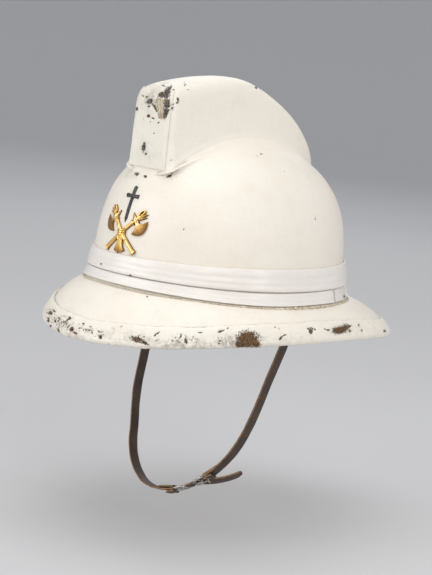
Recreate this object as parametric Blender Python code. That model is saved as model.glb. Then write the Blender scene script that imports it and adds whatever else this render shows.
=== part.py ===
"""Cork sun helmet of a fire brigade pattern: crown with a raised comb, sloping brim, folded cloth band,
crossed-axes badge and leather chin strap.

Metres, +Z up, front towards -Y, wearer's left towards +X. The origin is the centre of the head opening,
in the plane of the band's lower edge at the sides.
"""
import math

import bmesh
import bpy
import numpy as np
from mathutils import Vector

# Crown, measured on the outer face at the band's top edge
CROWN_WIDTH = 0.184
CROWN_FRONT = 0.1135
CROWN_REAR = 0.119
CROWN_RISE = 0.098
SHELL_WALL = 0.003

# Comb, heights above the band's top edge
COMB_WIDTH = 0.048
COMB_FRONT = 0.0925
COMB_REAR = 0.100
COMB_HEIGHT = 0.1455
COMB_CORNER = 0.007
COMB_FOOT_FRONT = 0.067
COMB_FOOT_REAR = 0.0625

# Band round the crown, and how much the crown widens under it, in all and half way up
BAND_HEIGHT = 0.032
BAND_FRONT_LIFT = 0.006
BAND_REAR_DROP = 0.003
BAND_FLARE = 0.004
MIDDLE_FLARE_SHARE = 0.45
BAND_CLOTH = 0.0026
LOWER_FOLD_SHARE = 0.41
BAND_JOIN_COLUMN = 18
BAND_LAP_COLUMNS = 4

# Brim, from the crown's foot to the rim. The foot is a little above the origin plane.
CROWN_FOOT_UP = 0.002
BRIM_SIDE = 0.0252
BRIM_FRONT = 0.0360
BRIM_REAR = 0.0595
BRIM_DROP_SIDE = 0.0212
BRIM_DROP_FRONT = 0.039
BRIM_DROP_REAR = 0.0348
BINDING_CLOTH = 0.0015
BINDING_OVER = 0.015
BINDING_UNDER = 0.012

# Cloth facing on the comb's front
FACING_CLOTH = 0.0008

# Badge. The axe's foot, top and head are shares of its length from the crossing.
AXE_LENGTH = 0.054
AXE_FOOT_SHARE = 0.40
AXE_TOP_SHARE = 0.38
AXE_HEAD_SHARE = 0.29
AXE_ANGLE = 46.0
AXE_HANDLE = 0.0036
AXE_BLADE = 0.016
BADGE_THICKNESS = 0.0024
BADGE_UP = 0.0174
SWORD_LENGTH = 0.029
SWORD_GUARD = 0.013
SWORD_GUARD_SHARE = 0.18
SWORD_WIDTH = 0.0034
SWORD_UP = 0.0395
SWORD_THICKNESS = 0.0016
BEND_STEP = 0.009

# Chin strap
STRAP_DROP = 0.1668
CHEEK_END_SHARE = 0.69     # of the drop, where the strap leaves the cheek and turns under the chin
CHEEK_BACK_SHARE = 0.09    # of the drop, how far forward the chin's middle is
STRAP_WIDTH = 0.010
STRAP_LEATHER = 0.0018
STRAP_STEP = 0.006
TAIL_LENGTH = 0.045
BUCKLE_LEFT_FROM_CHIN = 0.046
BUCKLE_CHIN_FROM_CHIN = 0.027
BUCKLE_WIDTH = 0.014
BUCKLE_LENGTH = 0.012
BUCKLE_BAR = 0.0018
BUCKLE_THICKNESS = 0.0020
LUG_THICKNESS = 0.004
LUG_HEIGHT = 0.012
LUG_WIDTH = 0.016
LUG_BACK = 0.005
LUG_UP = 0.003

# Gap kept between pieces that touch on the real helmet
GAP = 0.0003

# Mesh density: columns in a quarter of a ring, and how many of them cross half the comb's flat front and
# its rounded corner
QUARTER = 14
FLAT_COLUMNS = 3
CORNER_COLUMNS = 4
COLUMNS = 4 * QUARTER

# Brim sections from the rim inwards: out and down are shares of the brim's overhang and drop
BRIM_SECTIONS = (
    {"out": 1.00, "down": 1.00},
    {"out": 0.95, "down": 0.88},
    {"out": 0.85, "down": 0.71},
    {"out": 0.65, "down": 0.45},
    {"out": 0.40, "down": 0.21},
    {"out": 0.15, "down": 0.05},
    {"out": 0.00, "down": 0.00},
)

# Crown sections: width, front and rear are shares of the crown's reaches at the band, the heights are
# shares of CROWN_RISE, and round is 1 for an ellipse and less where the front flattens into the comb
CROWN_SECTIONS = (
    {"width": 1.000, "front": 1.000, "rear": 1.000, "side_up": 0.000, "front_up": 0.000, "rear_up": 0.000,
     "round": 1.00, "spacing": 0.00},
    {"width": 0.980, "front": 0.978, "rear": 0.982, "side_up": 0.204, "front_up": 0.204, "rear_up": 0.204,
     "round": 1.00, "spacing": 0.00},
    {"width": 0.933, "front": 0.941, "rear": 0.945, "side_up": 0.408, "front_up": 0.378, "rear_up": 0.388,
     "round": 1.00, "spacing": 0.05},
    {"width": 0.850, "front": 0.904, "rear": 0.905, "side_up": 0.592, "front_up": 0.500, "rear_up": 0.500,
     "round": 1.00, "spacing": 0.20},
    {"width": 0.737, "front": 0.876, "rear": 0.880, "side_up": 0.735, "front_up": 0.571, "rear_up": 0.556,
     "round": 1.00, "spacing": 0.40},
    {"width": 0.596, "front": 0.854, "rear": 0.863, "side_up": 0.857, "front_up": 0.622, "rear_up": 0.592,
     "round": 0.97, "spacing": 0.65},
    {"width": 0.427, "front": 0.833, "rear": 0.852, "side_up": 0.949, "front_up": 0.658, "rear_up": 0.617,
     "round": 0.80, "spacing": 0.85},
)

# Comb sections: up is a share of the comb's height above its foot, width a share of half COMB_WIDTH and
# front a share of COMB_FRONT
COMB_SECTIONS = (
    {"up": 0.00, "width": 1.16, "front": 1.000},
    {"up": 0.06, "width": 1.08, "front": 0.999},
    {"up": 0.15, "width": 1.03, "front": 0.998},
    {"up": 0.45, "width": 0.965, "front": 0.997},
    {"up": 0.75, "width": 0.92, "front": 0.995},
    {"up": 0.87, "width": 0.87, "front": 0.988},
    {"up": 0.94, "width": 0.78, "front": 0.972},
    {"up": 0.98, "width": 0.61, "front": 0.948},
    {"up": 1.00, "width": 0.35, "front": 0.918},
)
COMB_REAR_TAPER = 0.80

# Crest line: along is a share of COMB_FRONT (negative) or COMB_REAR, height a share of COMB_HEIGHT
CREST_LINE = (
    {"along": -1.00, "height": 0.919},
    {"along": -0.91, "height": 0.936},
    {"along": -0.73, "height": 0.962},
    {"along": -0.54, "height": 0.981},
    {"along": -0.35, "height": 0.993},
    {"along": -0.15, "height": 0.999},
    {"along": 0.00, "height": 0.985},
    {"along": 0.126, "height": 0.956},
    {"along": 0.347, "height": 0.887},
    {"along": 0.579, "height": 0.790},
    {"along": 0.705, "height": 0.722},
    {"along": 0.830, "height": 0.640},
    {"along": 0.895, "height": 0.585},
    {"along": 0.958, "height": 0.520},
    {"along": 1.000, "height": 0.465},
)

# Band folds from their lower to their upper edge: up is a share of the fold's own height, and lift, how far
# its face stands off the crown, a share of BAND_CLOTH
UPPER_FOLD = (
    {"up": 0.00, "lift": 1.00},
    {"up": 0.17, "lift": 1.15},
    {"up": 0.54, "lift": 1.00},
    {"up": 0.88, "lift": 0.85},
    {"up": 1.00, "lift": 0.62},
)
LOWER_FOLD = (
    {"up": 0.12, "lift": 1.35},
    {"up": 0.39, "lift": 1.20},
    {"up": 0.60, "lift": 1.00},
    {"up": 0.95, "lift": 0.80},
    {"up": 1.00, "lift": 0.60},
)
LAP_FOLD = (
    {"up": 0.12, "lift": 0.90},
    {"up": 0.49, "lift": 0.75},
    {"up": 1.00, "lift": 0.50},
)

# The folds' foot on the brim, in section numbers below the crown's foot, and what they clear there
FOLD_FOOT_SECTIONS = 0.75
FOOT_CLEARANCE = 0.0006

# Outlines of the badge's leaves above each axe head and of its tassel, in shares of AXE_LENGTH
LEAF_OUTLINE = ((-0.022, -0.037), (0.022, -0.037), (0.067, 0.056), (0.056, 0.120), (0.004, 0.065),
                (-0.056, 0.111), (-0.063, 0.046))
TASSEL_OUTLINE = ((-0.037, -0.037), (0.037, -0.037), (0.056, -0.167), (0.107, -0.287), (0.037, -0.306),
                  (0.000, -0.287), (-0.052, -0.311), (-0.107, -0.278), (-0.056, -0.167))
KNOT_SHARE = 0.072

# Thickness of the badge's parts, in shares of BADGE_THICKNESS
BADGE_LAYERS = {"lower handle": 1.0, "upper handle": 1.25, "blade": 0.6, "spike": 0.7, "leaf": 0.8,
                "knot": 1.6, "tassel": 0.9}

# Chin strap's route on the wearer's left, from the lug down to the middle under the chin: side is a share of
# half CROWN_WIDTH, back and up are shares of STRAP_DROP
STRAP_ROUTE = (
    {"side": 0.978, "back": 0.0300, "up": 0.0120},
    {"side": 0.962, "back": 0.0300, "up": -0.0480},
    {"side": 0.918, "back": 0.0312, "up": -0.1199},
    {"side": 0.859, "back": 0.0300, "up": -0.2068},
    {"side": 0.815, "back": -0.0180, "up": -0.3657},
    {"side": 0.783, "back": -0.0540, "up": -0.4916},
    {"side": 0.750, "back": -0.0875, "up": -0.6043},
    {"side": 0.701, "back": -0.1139, "up": -0.6954},
    {"side": 0.641, "back": -0.1409, "up": -0.7734},
    {"side": 0.565, "back": -0.1763, "up": -0.8423},
    {"side": 0.478, "back": -0.2098, "up": -0.8975},
    {"side": 0.380, "back": -0.2368, "up": -0.9412},
    {"side": 0.261, "back": -0.2608, "up": -0.9742},
    {"side": 0.130, "back": -0.2848, "up": -0.9940},
    {"side": 0.000, "back": -0.2938, "up": -1.0000},
)

# Free end's route away from its start behind the left buckle, in shares of TAIL_LENGTH
TAIL_ROUTE = (
    {"side": -0.026, "back": 0.165, "up": -0.071},
    {"side": 0.020, "back": 0.410, "up": -0.088},
    {"side": 0.109, "back": 0.677, "up": -0.044},
    {"side": 0.163, "back": 0.943, "up": 0.029},
)


def clear_scene():
    for item in list(bpy.data.objects):
        bpy.data.objects.remove(item, do_unlink=True)


def material(name, colour, roughness, metallic=0.0):
    made = bpy.data.materials.new(name)
    made.use_nodes = True
    shader = made.node_tree.nodes["Principled BSDF"]
    shader.inputs["Base Color"].default_value = (*colour, 1.0)
    shader.inputs["Roughness"].default_value = roughness
    shader.inputs["Metallic"].default_value = metallic
    return made


def node(name, points, faces, finish, smooth_angle=35.0):
    """A closed mesh object from points and faces, with its normals turned out."""
    mesh = bpy.data.meshes.new(name)
    mesh.from_pydata([tuple(map(float, point)) for point in points], [], faces)
    work = bmesh.new()
    work.from_mesh(mesh)
    bmesh.ops.recalc_face_normals(work, faces=work.faces)
    if work.calc_volume(signed=True) < 0:
        bmesh.ops.reverse_faces(work, faces=work.faces)
    work.to_mesh(mesh)
    work.free()
    mesh.shade_smooth()
    mesh.set_sharp_from_angle(angle=math.radians(smooth_angle))
    mesh.materials.append(finish)
    made = bpy.data.objects.new(name, mesh)
    bpy.context.scene.collection.objects.link(made)
    return made


def smooth_table(places, values, at):
    """Catmull-Rom curve through the values at the places, read at one place or an array of them."""
    places = np.asarray(places, float)
    values = np.asarray(values, float)
    slopes = np.gradient(values, places)
    at = np.clip(np.asarray(at, float), places[0], places[-1])
    span = np.clip(np.searchsorted(places, at, side="right") - 1, 0, len(places) - 2)
    width = places[span + 1] - places[span]
    share = (at - places[span]) / width
    start, end = values[span], values[span + 1]
    out, into = slopes[span] * width, slopes[span + 1] * width
    square, cube = share ** 2, share ** 3
    return (start * (2 * cube - 3 * square + 1) + out * (cube - 2 * square + share)
            + end * (3 * square - 2 * cube) + into * (cube - square))


def shell_sections():
    """Every section of the shell's outer face from rim to crest, in metres, as one array per column."""
    band_top = BAND_HEIGHT
    half = CROWN_WIDTH / 2
    rows = []
    for brim in BRIM_SECTIONS:
        rows.append({
            "width": half + BAND_FLARE + BRIM_SIDE * brim["out"],
            "front": CROWN_FRONT + BAND_FLARE + BRIM_FRONT * brim["out"],
            "rear": CROWN_REAR + BAND_FLARE + BRIM_REAR * brim["out"],
            "side_z": CROWN_FOOT_UP - BRIM_DROP_SIDE * brim["down"],
            "front_z": CROWN_FOOT_UP + BAND_FRONT_LIFT - BRIM_DROP_FRONT * brim["down"],
            "rear_z": CROWN_FOOT_UP - BAND_REAR_DROP - BRIM_DROP_REAR * brim["down"],
            "corner_x": 1.0, "corner_y": 1.0, "taper": 1.0, "spacing": 0.0, "comb": 0.0,
        })
    flare = BAND_FLARE * MIDDLE_FLARE_SHARE
    rows.append({
        "width": half + flare, "front": CROWN_FRONT + flare, "rear": CROWN_REAR + flare,
        "side_z": band_top / 2, "front_z": (band_top + BAND_FRONT_LIFT) / 2,
        "rear_z": (band_top - BAND_REAR_DROP) / 2,
        "corner_x": 1.0, "corner_y": 1.0, "taper": 1.0, "spacing": 0.0, "comb": 0.0,
    })
    for crown in CROWN_SECTIONS:
        rows.append({
            "width": half * crown["width"], "front": CROWN_FRONT * crown["front"],
            "rear": CROWN_REAR * crown["rear"], "side_z": band_top + CROWN_RISE * crown["side_up"],
            "front_z": band_top + CROWN_RISE * crown["front_up"],
            "rear_z": band_top + CROWN_RISE * crown["rear_up"],
            "corner_x": crown["round"], "corner_y": crown["round"], "taper": 1.0,
            "spacing": crown["spacing"], "comb": 0.0,
        })
    for comb in COMB_SECTIONS:
        width = COMB_WIDTH / 2 * comb["width"]
        front = COMB_FRONT * comb["front"]
        rows.append({
            "width": width, "front": front, "rear": COMB_REAR,
            "side_z": band_top + CROWN_RISE, "front_z": band_top + COMB_FOOT_FRONT,
            "rear_z": band_top + COMB_FOOT_REAR,
            "corner_x": min(COMB_CORNER / width, 0.9), "corner_y": COMB_CORNER / front,
            "taper": COMB_REAR_TAPER, "spacing": 1.0, "comb": comb["up"],
        })
    return {key: np.array([row[key] for row in rows]) for key in rows[0]}


SECTIONS = shell_sections()
RIM_ROW = 0
CROWN_FOOT_ROW = len(BRIM_SECTIONS) - 1
BAND_TOP_ROW = CROWN_FOOT_ROW + 2
COMB_FOOT_ROW = BAND_TOP_ROW + len(CROWN_SECTIONS)
CREST_ROW = COMB_FOOT_ROW + len(COMB_SECTIONS) - 1


def crest_height(y):
    """Height of the comb's crest line above the origin plane at y."""
    along = np.where(y < 0, y / COMB_FRONT, y / COMB_REAR)
    places = [mark["along"] for mark in CREST_LINE]
    heights = [mark["height"] for mark in CREST_LINE]
    return BAND_HEIGHT + COMB_HEIGHT * smooth_table(places, heights, along)


def comb_marks():
    """Shares of the way round the comb's quarter plan where its front corner starts and ends."""
    flat = COMB_WIDTH / 2 - COMB_CORNER
    turn = COMB_CORNER * math.pi / 2
    whole = flat + turn + COMB_FRONT - COMB_CORNER
    return flat / whole, (flat + turn) / whole


def quarter_plan(width, reach, corner_x, corner_y, spacing):
    """Plan of a quarter ring from the centre line to the side: a flat end, an elliptical corner and a
    straight side. With both corners at 1 it is a quarter of an ellipse. Spacing 1 gathers the points at
    the comb's corner, and 0 spreads them evenly."""
    flat = width * (1 - corner_x)
    straight = reach * (1 - corner_y)
    turn = np.linspace(0, math.pi / 2, 33)
    arc_x = flat + width * corner_x * np.sin(turn)
    arc_y = straight + reach * corner_y * np.cos(turn)
    xs = np.concatenate([[0.0], arc_x, [width]])
    ys = np.concatenate([[reach], arc_y, [0.0]])
    steps = np.hypot(np.diff(xs), np.diff(ys))
    length = np.concatenate([[0.0], np.cumsum(steps)])
    corner_start, corner_end = comb_marks()
    even = np.linspace(0, 1, QUARTER + 1)
    turns = [0, FLAT_COLUMNS / QUARTER, (FLAT_COLUMNS + CORNER_COLUMNS) / QUARTER, 1.0]
    marks = np.interp(even, turns, [0, corner_start, corner_end, 1.0])
    share = (even * (1 - spacing) + marks * spacing) * length[-1]
    return np.interp(share, length, xs), np.interp(share, length, ys)


def ring(row):
    """One ring of the shell's outer face at a section number, which need not be whole: columns run from
    the front over the wearer's left to the rear and back over the right."""
    numbers = np.arange(len(SECTIONS["width"]))
    size = {key: float(smooth_table(numbers, values, row)) for key, values in SECTIONS.items()}
    front_x, front_y = quarter_plan(size["width"], size["front"], size["corner_x"], size["corner_y"],
                                    size["spacing"])
    rear_x, rear_y = quarter_plan(size["width"], size["rear"], 1.0, size["taper"], 0.0)
    x = np.concatenate([front_x, rear_x[::-1][1:]])
    y = np.concatenate([-front_y, rear_y[::-1][1:]])
    base = np.where(y < 0,
                    size["side_z"] + (size["front_z"] - size["side_z"]) * (y / size["front"]) ** 2,
                    size["side_z"] + (size["rear_z"] - size["side_z"]) * (y / size["rear"]) ** 2)
    z = base + size["comb"] * (crest_height(y) - base)
    left = np.stack([x, y, z], axis=1)
    right = left[1:-1][::-1] * (-1, 1, 1)
    return np.concatenate([left, right])


def face_normals_out(rows):
    """Outward unit normals of the shell's outer face for a list of section numbers."""
    step = 0.02
    normals = []
    for row in rows:
        low = max(row - step, RIM_ROW)
        high = min(row + step, CREST_ROW)
        upward = ring(high) - ring(low)
        here = ring(row)
        around = np.roll(here, -1, axis=0) - np.roll(here, 1, axis=0)
        out = np.cross(around, upward)
        length = np.linalg.norm(out, axis=1, keepdims=True)
        normals.append(out / np.maximum(length, 1e-12))
    return np.array(normals)


def bridge_rows(rows, columns, closed=True, first=0):
    """Quads between neighbouring rows of points that are stored row after row."""
    faces = []
    last = columns if closed else columns - 1
    for row in range(rows - 1):
        for column in range(last):
            beside = (column + 1) % columns
            low = first + row * columns
            faces.append((low + column, low + beside, low + columns + beside, low + columns + column))
    return faces


def shell_rows():
    """Section numbers of the shell's rings: every section, and two more in the cove under the band."""
    rows = [float(row) for row in range(CREST_ROW + 1)]
    rows += [CROWN_FOOT_ROW - 0.6, CROWN_FOOT_ROW - 0.3]
    return sorted(rows)


def make_shell(finish):
    """Crown, comb and brim as one hollow wall, open below."""
    rows = shell_rows()
    outer = np.concatenate([ring(row) for row in rows])
    faces = bridge_rows(len(rows), COLUMNS)
    top = (len(rows) - 1) * COLUMNS
    half = COLUMNS // 2
    faces.append((top, top + 1, top + COLUMNS - 1))
    for column in range(1, half - 1):
        faces.append((top + column, top + column + 1, top + COLUMNS - column - 1, top + COLUMNS - column))
    faces.append((top + half - 1, top + half, top + half + 1))
    mesh = bpy.data.meshes.new("shell")
    mesh.from_pydata(outer.tolist(), [], faces)
    mesh.shade_smooth()
    mesh.materials.append(finish)
    shell = bpy.data.objects.new("shell", mesh)
    bpy.context.scene.collection.objects.link(shell)
    wall = shell.modifiers.new("wall", "SOLIDIFY")
    wall.thickness = SHELL_WALL
    wall.offset = -1.0
    wall.use_even_offset = True
    return shell


def swept_section(name, rails, finish, closed=True):
    """A solid whose section's corners follow the rails, each an array of points along the sweep. An open
    sweep gets flat ends."""
    points = np.concatenate(rails)
    corners = len(rails)
    count = len(rails[0])
    faces = bridge_rows(corners, count, closed)
    last = count if closed else count - 1
    low = (corners - 1) * count
    for place in range(last):
        beside = (place + 1) % count
        faces.append((low + place, low + beside, beside, place))
    if not closed:
        faces.append(tuple(corner * count for corner in range(corners)))
        faces.append(tuple(corner * count + count - 1 for corner in reversed(range(corners))))
    return node(name, points, faces, finish)


def make_binding(finish):
    """Cloth folded round the rim: up over the brim by BINDING_OVER and back under it by BINDING_UNDER."""
    rows = np.linspace(RIM_ROW, CROWN_FOOT_ROW, 49)
    grid = np.array([ring(row) for row in rows])
    normals = face_normals_out(rows)
    reach = np.concatenate([np.zeros((1, COLUMNS)),
                            np.cumsum(np.linalg.norm(np.diff(grid, axis=0), axis=2), axis=0)])

    def up_brim(distance, lift):
        """Points a distance up from the rim and a lift out from the brim's upper face."""
        result = np.zeros((COLUMNS, 3))
        for column in range(COLUMNS):
            if distance >= 0:
                place = [np.interp(distance, reach[:, column], grid[:, column, axis]) for axis in range(3)]
                out = [np.interp(distance, reach[:, column], normals[:, column, axis]) for axis in range(3)]
            else:
                along = grid[1, column] - grid[0, column]
                along /= np.linalg.norm(along)
                place = grid[0, column] + along * distance
                out = normals[0, column]
            out = np.array(out) / np.linalg.norm(out)
            result[column] = np.array(place) + out * lift
        return result

    middle = -SHELL_WALL / 2
    inner = SHELL_WALL / 2 + GAP
    outer = inner + BINDING_CLOTH
    over = [BINDING_OVER * share for share in (1.0, 0.5, 0.0)]
    under = [BINDING_UNDER * share for share in (0.0, 1.0)]
    over_inner = [BINDING_OVER * share for share in (0.0, 0.25, 0.5, 0.75, 1.0)]
    under_inner = [BINDING_UNDER * share for share in (1.0, 0.5, 0.0)]
    turn = [math.radians(angle) for angle in (45, 90, 135)]
    rails = [up_brim(distance, middle + outer) for distance in over]
    rails += [up_brim(-outer * math.sin(angle), middle + outer * math.cos(angle)) for angle in turn]
    rails += [up_brim(distance, middle - outer) for distance in under]
    rails += [up_brim(distance, middle - inner) for distance in under_inner]
    rails += [up_brim(-inner, middle - inner * 0.5), up_brim(-inner, middle + inner * 0.5)]
    rails += [up_brim(distance, middle + inner) for distance in over_inner]
    return swept_section("edge_binding", rails, finish)


def lifted(row, lift):
    """Ring at a section number, moved out by a lift."""
    return ring(row) + face_normals_out([row])[0] * lift


def band_row(share):
    """Section number at a share of the way up the band."""
    return CROWN_FOOT_ROW + share * (BAND_TOP_ROW - CROWN_FOOT_ROW)


def make_bands(finish):
    """The upper fold goes all round. The lower fold stops at a raw edge, and its start shows there."""
    gap_share = GAP / BAND_HEIGHT
    upper_foot = LOWER_FOLD_SHARE + 2 * gap_share
    lower_top = LOWER_FOLD_SHARE - gap_share

    def face(fold, low, high):
        return [(band_row(low + (high - low) * mark["up"]), BAND_CLOTH * mark["lift"]) for mark in fold]

    upper = [(band_row(upper_foot), GAP)] + face(UPPER_FOLD, upper_foot, 1.0) + [(band_row(1.0), GAP)]
    swept_section("band_upper", [lifted(row, lift) for row, lift in upper], finish)

    foot = CROWN_FOOT_ROW - FOLD_FOOT_SECTIONS
    lower = [(CROWN_FOOT_ROW, GAP), ((foot + CROWN_FOOT_ROW) / 2, FOOT_CLEARANCE), (foot, FOOT_CLEARANCE)]
    lower += face(LOWER_FOLD, 0.0, lower_top) + [(band_row(lower_top), GAP)]
    rails = [lifted(row, lift) for row, lift in lower]
    join = BAND_JOIN_COLUMN
    lap_end = join + BAND_LAP_COLUMNS
    around = [column % COLUMNS for column in range(lap_end, COLUMNS + join + 1)]
    swept_section("band_lower", [rail[around] for rail in rails], finish, closed=False)

    lap = [(CROWN_FOOT_ROW, GAP), ((foot + CROWN_FOOT_ROW) / 2, FOOT_CLEARANCE)]
    lap += face(LAP_FOLD, 0.0, lower_top) + [(band_row(lower_top), GAP)]
    between = np.arange(join, lap_end + 1)
    rails = []
    for row, lift in lap:
        rail = lifted(row, lift)[between]
        first = rail[1] - rail[0]
        last = rail[-2] - rail[-1]
        rail[0] += first / np.linalg.norm(first) * GAP * 2
        rail[-1] += last / np.linalg.norm(last) * GAP * 2
        rails.append(rail)
    swept_section("band_lap", rails, finish, closed=False)


def make_facing(finish):
    """Strip over the comb's flat front, from the foot to where the crest starts to round over."""
    rows = np.linspace(COMB_FOOT_ROW + 0.6, COMB_FOOT_ROW + 5.0, 9)
    columns = [column % COLUMNS for column in range(-FLAT_COLUMNS, FLAT_COLUMNS + 1)]
    outer = [lifted(row, GAP + FACING_CLOTH)[columns] for row in rows]
    inner = [lifted(row, GAP)[columns] for row in rows]
    rails = [np.array([layer[column] for layer in outer]) for column in range(len(columns))]
    rails += [np.array([layer[column] for layer in inner]) for column in reversed(range(len(columns)))]
    return swept_section("comb_facing", rails, finish, closed=False)


def crown_front(x, up):
    """Point and outward normal on the crown's front at x and at a height above the band's top edge."""
    low, high = BAND_TOP_ROW, COMB_FOOT_ROW
    rows = np.arange(low, high + 1)
    height = up + BAND_HEIGHT

    def place(at_x, at_z):
        reach = np.interp(at_z, SECTIONS["front_z"][rows], SECTIONS["front"][rows])
        width = np.interp(at_z, SECTIONS["side_z"][rows], SECTIONS["width"][rows])
        return Vector((at_x, -reach * math.sqrt(max(0.0, 1 - (at_x / width) ** 2)), at_z))

    step = 0.002
    here = place(x, height)
    across = place(x + step, height) - place(x - step, height)
    upward = place(x, height + step) - place(x, height - step)
    return here, across.cross(upward).normalized()


def prism(outline, low, high):
    """A flat plate with the outline's corners, from low to high, as a bmesh."""
    work = bmesh.new()
    base = [work.verts.new((x, y, low)) for x, y in outline]
    face = work.faces.new(base)
    raised = bmesh.ops.extrude_face_region(work, geom=[face])
    for item in raised["geom"]:
        if isinstance(item, bmesh.types.BMVert):
            item.co.z = high
    bmesh.ops.recalc_face_normals(work, faces=work.faces)
    return work


def turned(outline, degrees, mirror=1):
    angle = math.radians(degrees)
    cos, sin = math.cos(angle), math.sin(angle)
    return [((x * cos + y * sin) * mirror, -x * sin + y * cos) for x, y in outline]


def axe_outlines():
    """Outlines of one upright axe about the badge's crossing: handle, blade, spike and leaves above it."""
    half = AXE_HANDLE / 2
    low, high = -AXE_LENGTH * AXE_FOOT_SHARE, AXE_LENGTH * AXE_TOP_SHARE
    handle = [(-half * 1.3, low), (half * 1.3, low), (half, low * 0.6), (half, high), (-half, high),
              (-half, low * 0.6)]
    root = AXE_LENGTH * AXE_HEAD_SHARE
    blade_root, spike_root = AXE_BLADE * 0.19, AXE_BLADE * 0.125
    blade = [(half * 0.5, root - blade_root)]
    for angle in np.radians(np.linspace(-52, 52, 9)):
        blade.append((half + AXE_BLADE * 0.80 * math.cos(angle), root + AXE_BLADE * 0.62 * math.sin(angle)))
    blade.append((half * 0.5, root + blade_root))
    spike = [(-half * 0.5, root - spike_root), (-half - AXE_BLADE * 0.30, root),
             (-half * 0.5, root + spike_root)]
    leaf = [(x * AXE_LENGTH, high + y * AXE_LENGTH) for x, y in LEAF_OUTLINE]
    return {"blade": blade, "spike": spike, "leaf": leaf}, handle


def join_solids(parts):
    """Boolean union of closed bmeshes, as the points and faces of one closed mesh."""
    objects = []
    for number, work in enumerate(parts):
        mesh = bpy.data.meshes.new(f"badge_part_{number}")
        work.to_mesh(mesh)
        work.free()
        item = bpy.data.objects.new(f"badge_part_{number}", mesh)
        bpy.context.scene.collection.objects.link(item)
        objects.append(item)
    base = objects[0]
    for item in objects[1:]:
        union = base.modifiers.new(item.name, "BOOLEAN")
        union.operation = "UNION"
        union.object = item
    bpy.context.view_layer.update()
    made = base.evaluated_get(bpy.context.evaluated_depsgraph_get()).to_mesh()
    work = bmesh.new()
    work.from_mesh(made)
    bmesh.ops.remove_doubles(work, verts=work.verts, dist=0.00002)
    for item in objects:
        bpy.data.objects.remove(item, do_unlink=True)
    return cut_for_bending(work)


def cut_for_bending(work):
    """Cuts a flat badge mesh every BEND_STEP across and up, and returns its points and faces."""
    reach = max(max(abs(vert.co.x), abs(vert.co.y)) for vert in work.verts)
    count = int(reach / BEND_STEP)
    for number in range(-count, count + 1):
        for axis in (Vector((1, 0, 0)), Vector((0, 1, 0))):
            everything = work.verts[:] + work.edges[:] + work.faces[:]
            bmesh.ops.bisect_plane(work, geom=everything, plane_co=axis * BEND_STEP * (number + 0.37),
                                   plane_no=axis, dist=0.000001)
    bmesh.ops.triangulate(work, faces=work.faces)
    work.verts.index_update()
    points = [tuple(vert.co) for vert in work.verts]
    faces = [tuple(vert.index for vert in face.verts) for face in work.faces]
    work.free()
    return points, faces


def wrap_on_front(points, up, lift):
    """Bends flat badge points onto the crown's front: x across, y up, z out."""
    wrapped = []
    for x, y, z in points:
        place, out = crown_front(x, up + y)
        wrapped.append(place + out * (z + lift))
    return wrapped


def make_axes(finish):
    """Crossed axes with a tied tassel, struck as one piece."""
    def plate(outline, layer):
        return prism(outline, 0.0, BADGE_THICKNESS * BADGE_LAYERS[layer])

    parts = []
    heads, handle = axe_outlines()
    for mirror, layer in ((1, "lower handle"), (-1, "upper handle")):
        parts.append(plate(turned(handle, AXE_ANGLE, mirror), layer))
        parts += [plate(turned(outline, AXE_ANGLE, mirror), name) for name, outline in heads.items()]
    knot_reach = AXE_LENGTH * KNOT_SHARE
    knot = [(knot_reach * math.cos(angle), knot_reach * math.sin(angle))
            for angle in np.radians(range(0, 360, 45))]
    parts.append(plate(knot, "knot"))
    parts.append(plate([(x * AXE_LENGTH, y * AXE_LENGTH) for x, y in TASSEL_OUTLINE], "tassel"))
    points, faces = join_solids(parts)
    return node("badge_axes", wrap_on_front(points, BADGE_UP, GAP), faces, finish)


def make_sword(finish):
    """Plain sword, point down, on the crown's front above the crossing."""
    half = SWORD_WIDTH / 2
    low, high = -SWORD_LENGTH / 2, SWORD_LENGTH / 2
    guard_low = SWORD_LENGTH * SWORD_GUARD_SHARE
    guard_high = guard_low + SWORD_WIDTH * 0.9
    guard = SWORD_GUARD / 2
    outline = [(0.0, low), (half, low + SWORD_WIDTH), (half, guard_low), (guard, guard_low),
               (guard, guard_high), (half, guard_high), (half * 0.9, high - half), (0.0, high),
               (-half * 0.9, high - half), (-half, guard_high), (-guard, guard_high), (-guard, guard_low),
               (-half, guard_low), (-half, low + SWORD_WIDTH)]
    points, faces = cut_for_bending(prism(outline, 0.0, SWORD_THICKNESS))
    return node("badge_sword", wrap_on_front(points, SWORD_UP, GAP), faces, finish)


def route_points(table, sideways, length):
    """A route table's points in metres."""
    return np.array([(mark["side"] * sideways, mark["back"] * length, mark["up"] * length)
                     for mark in table])


def smooth_route(route, step):
    """Points every step along a smooth curve through the route's points."""
    chords = np.concatenate([[0.0], np.cumsum(np.linalg.norm(np.diff(route, axis=0), axis=1))])
    fine = np.linspace(0, chords[-1], max(3, int(round(chords[-1] / step)) + 1))
    return np.stack([smooth_table(chords, route[:, axis], fine) for axis in range(3)], axis=1)


def strap_outward(point):
    """Direction that the strap's outer face looks in, away from cheek and chin."""
    chin_depth = min(0.0, point[2] + CHEEK_END_SHARE * STRAP_DROP)
    return np.array([point[0], 0.3 * (point[1] + CHEEK_BACK_SHARE * STRAP_DROP), chin_depth])


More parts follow.
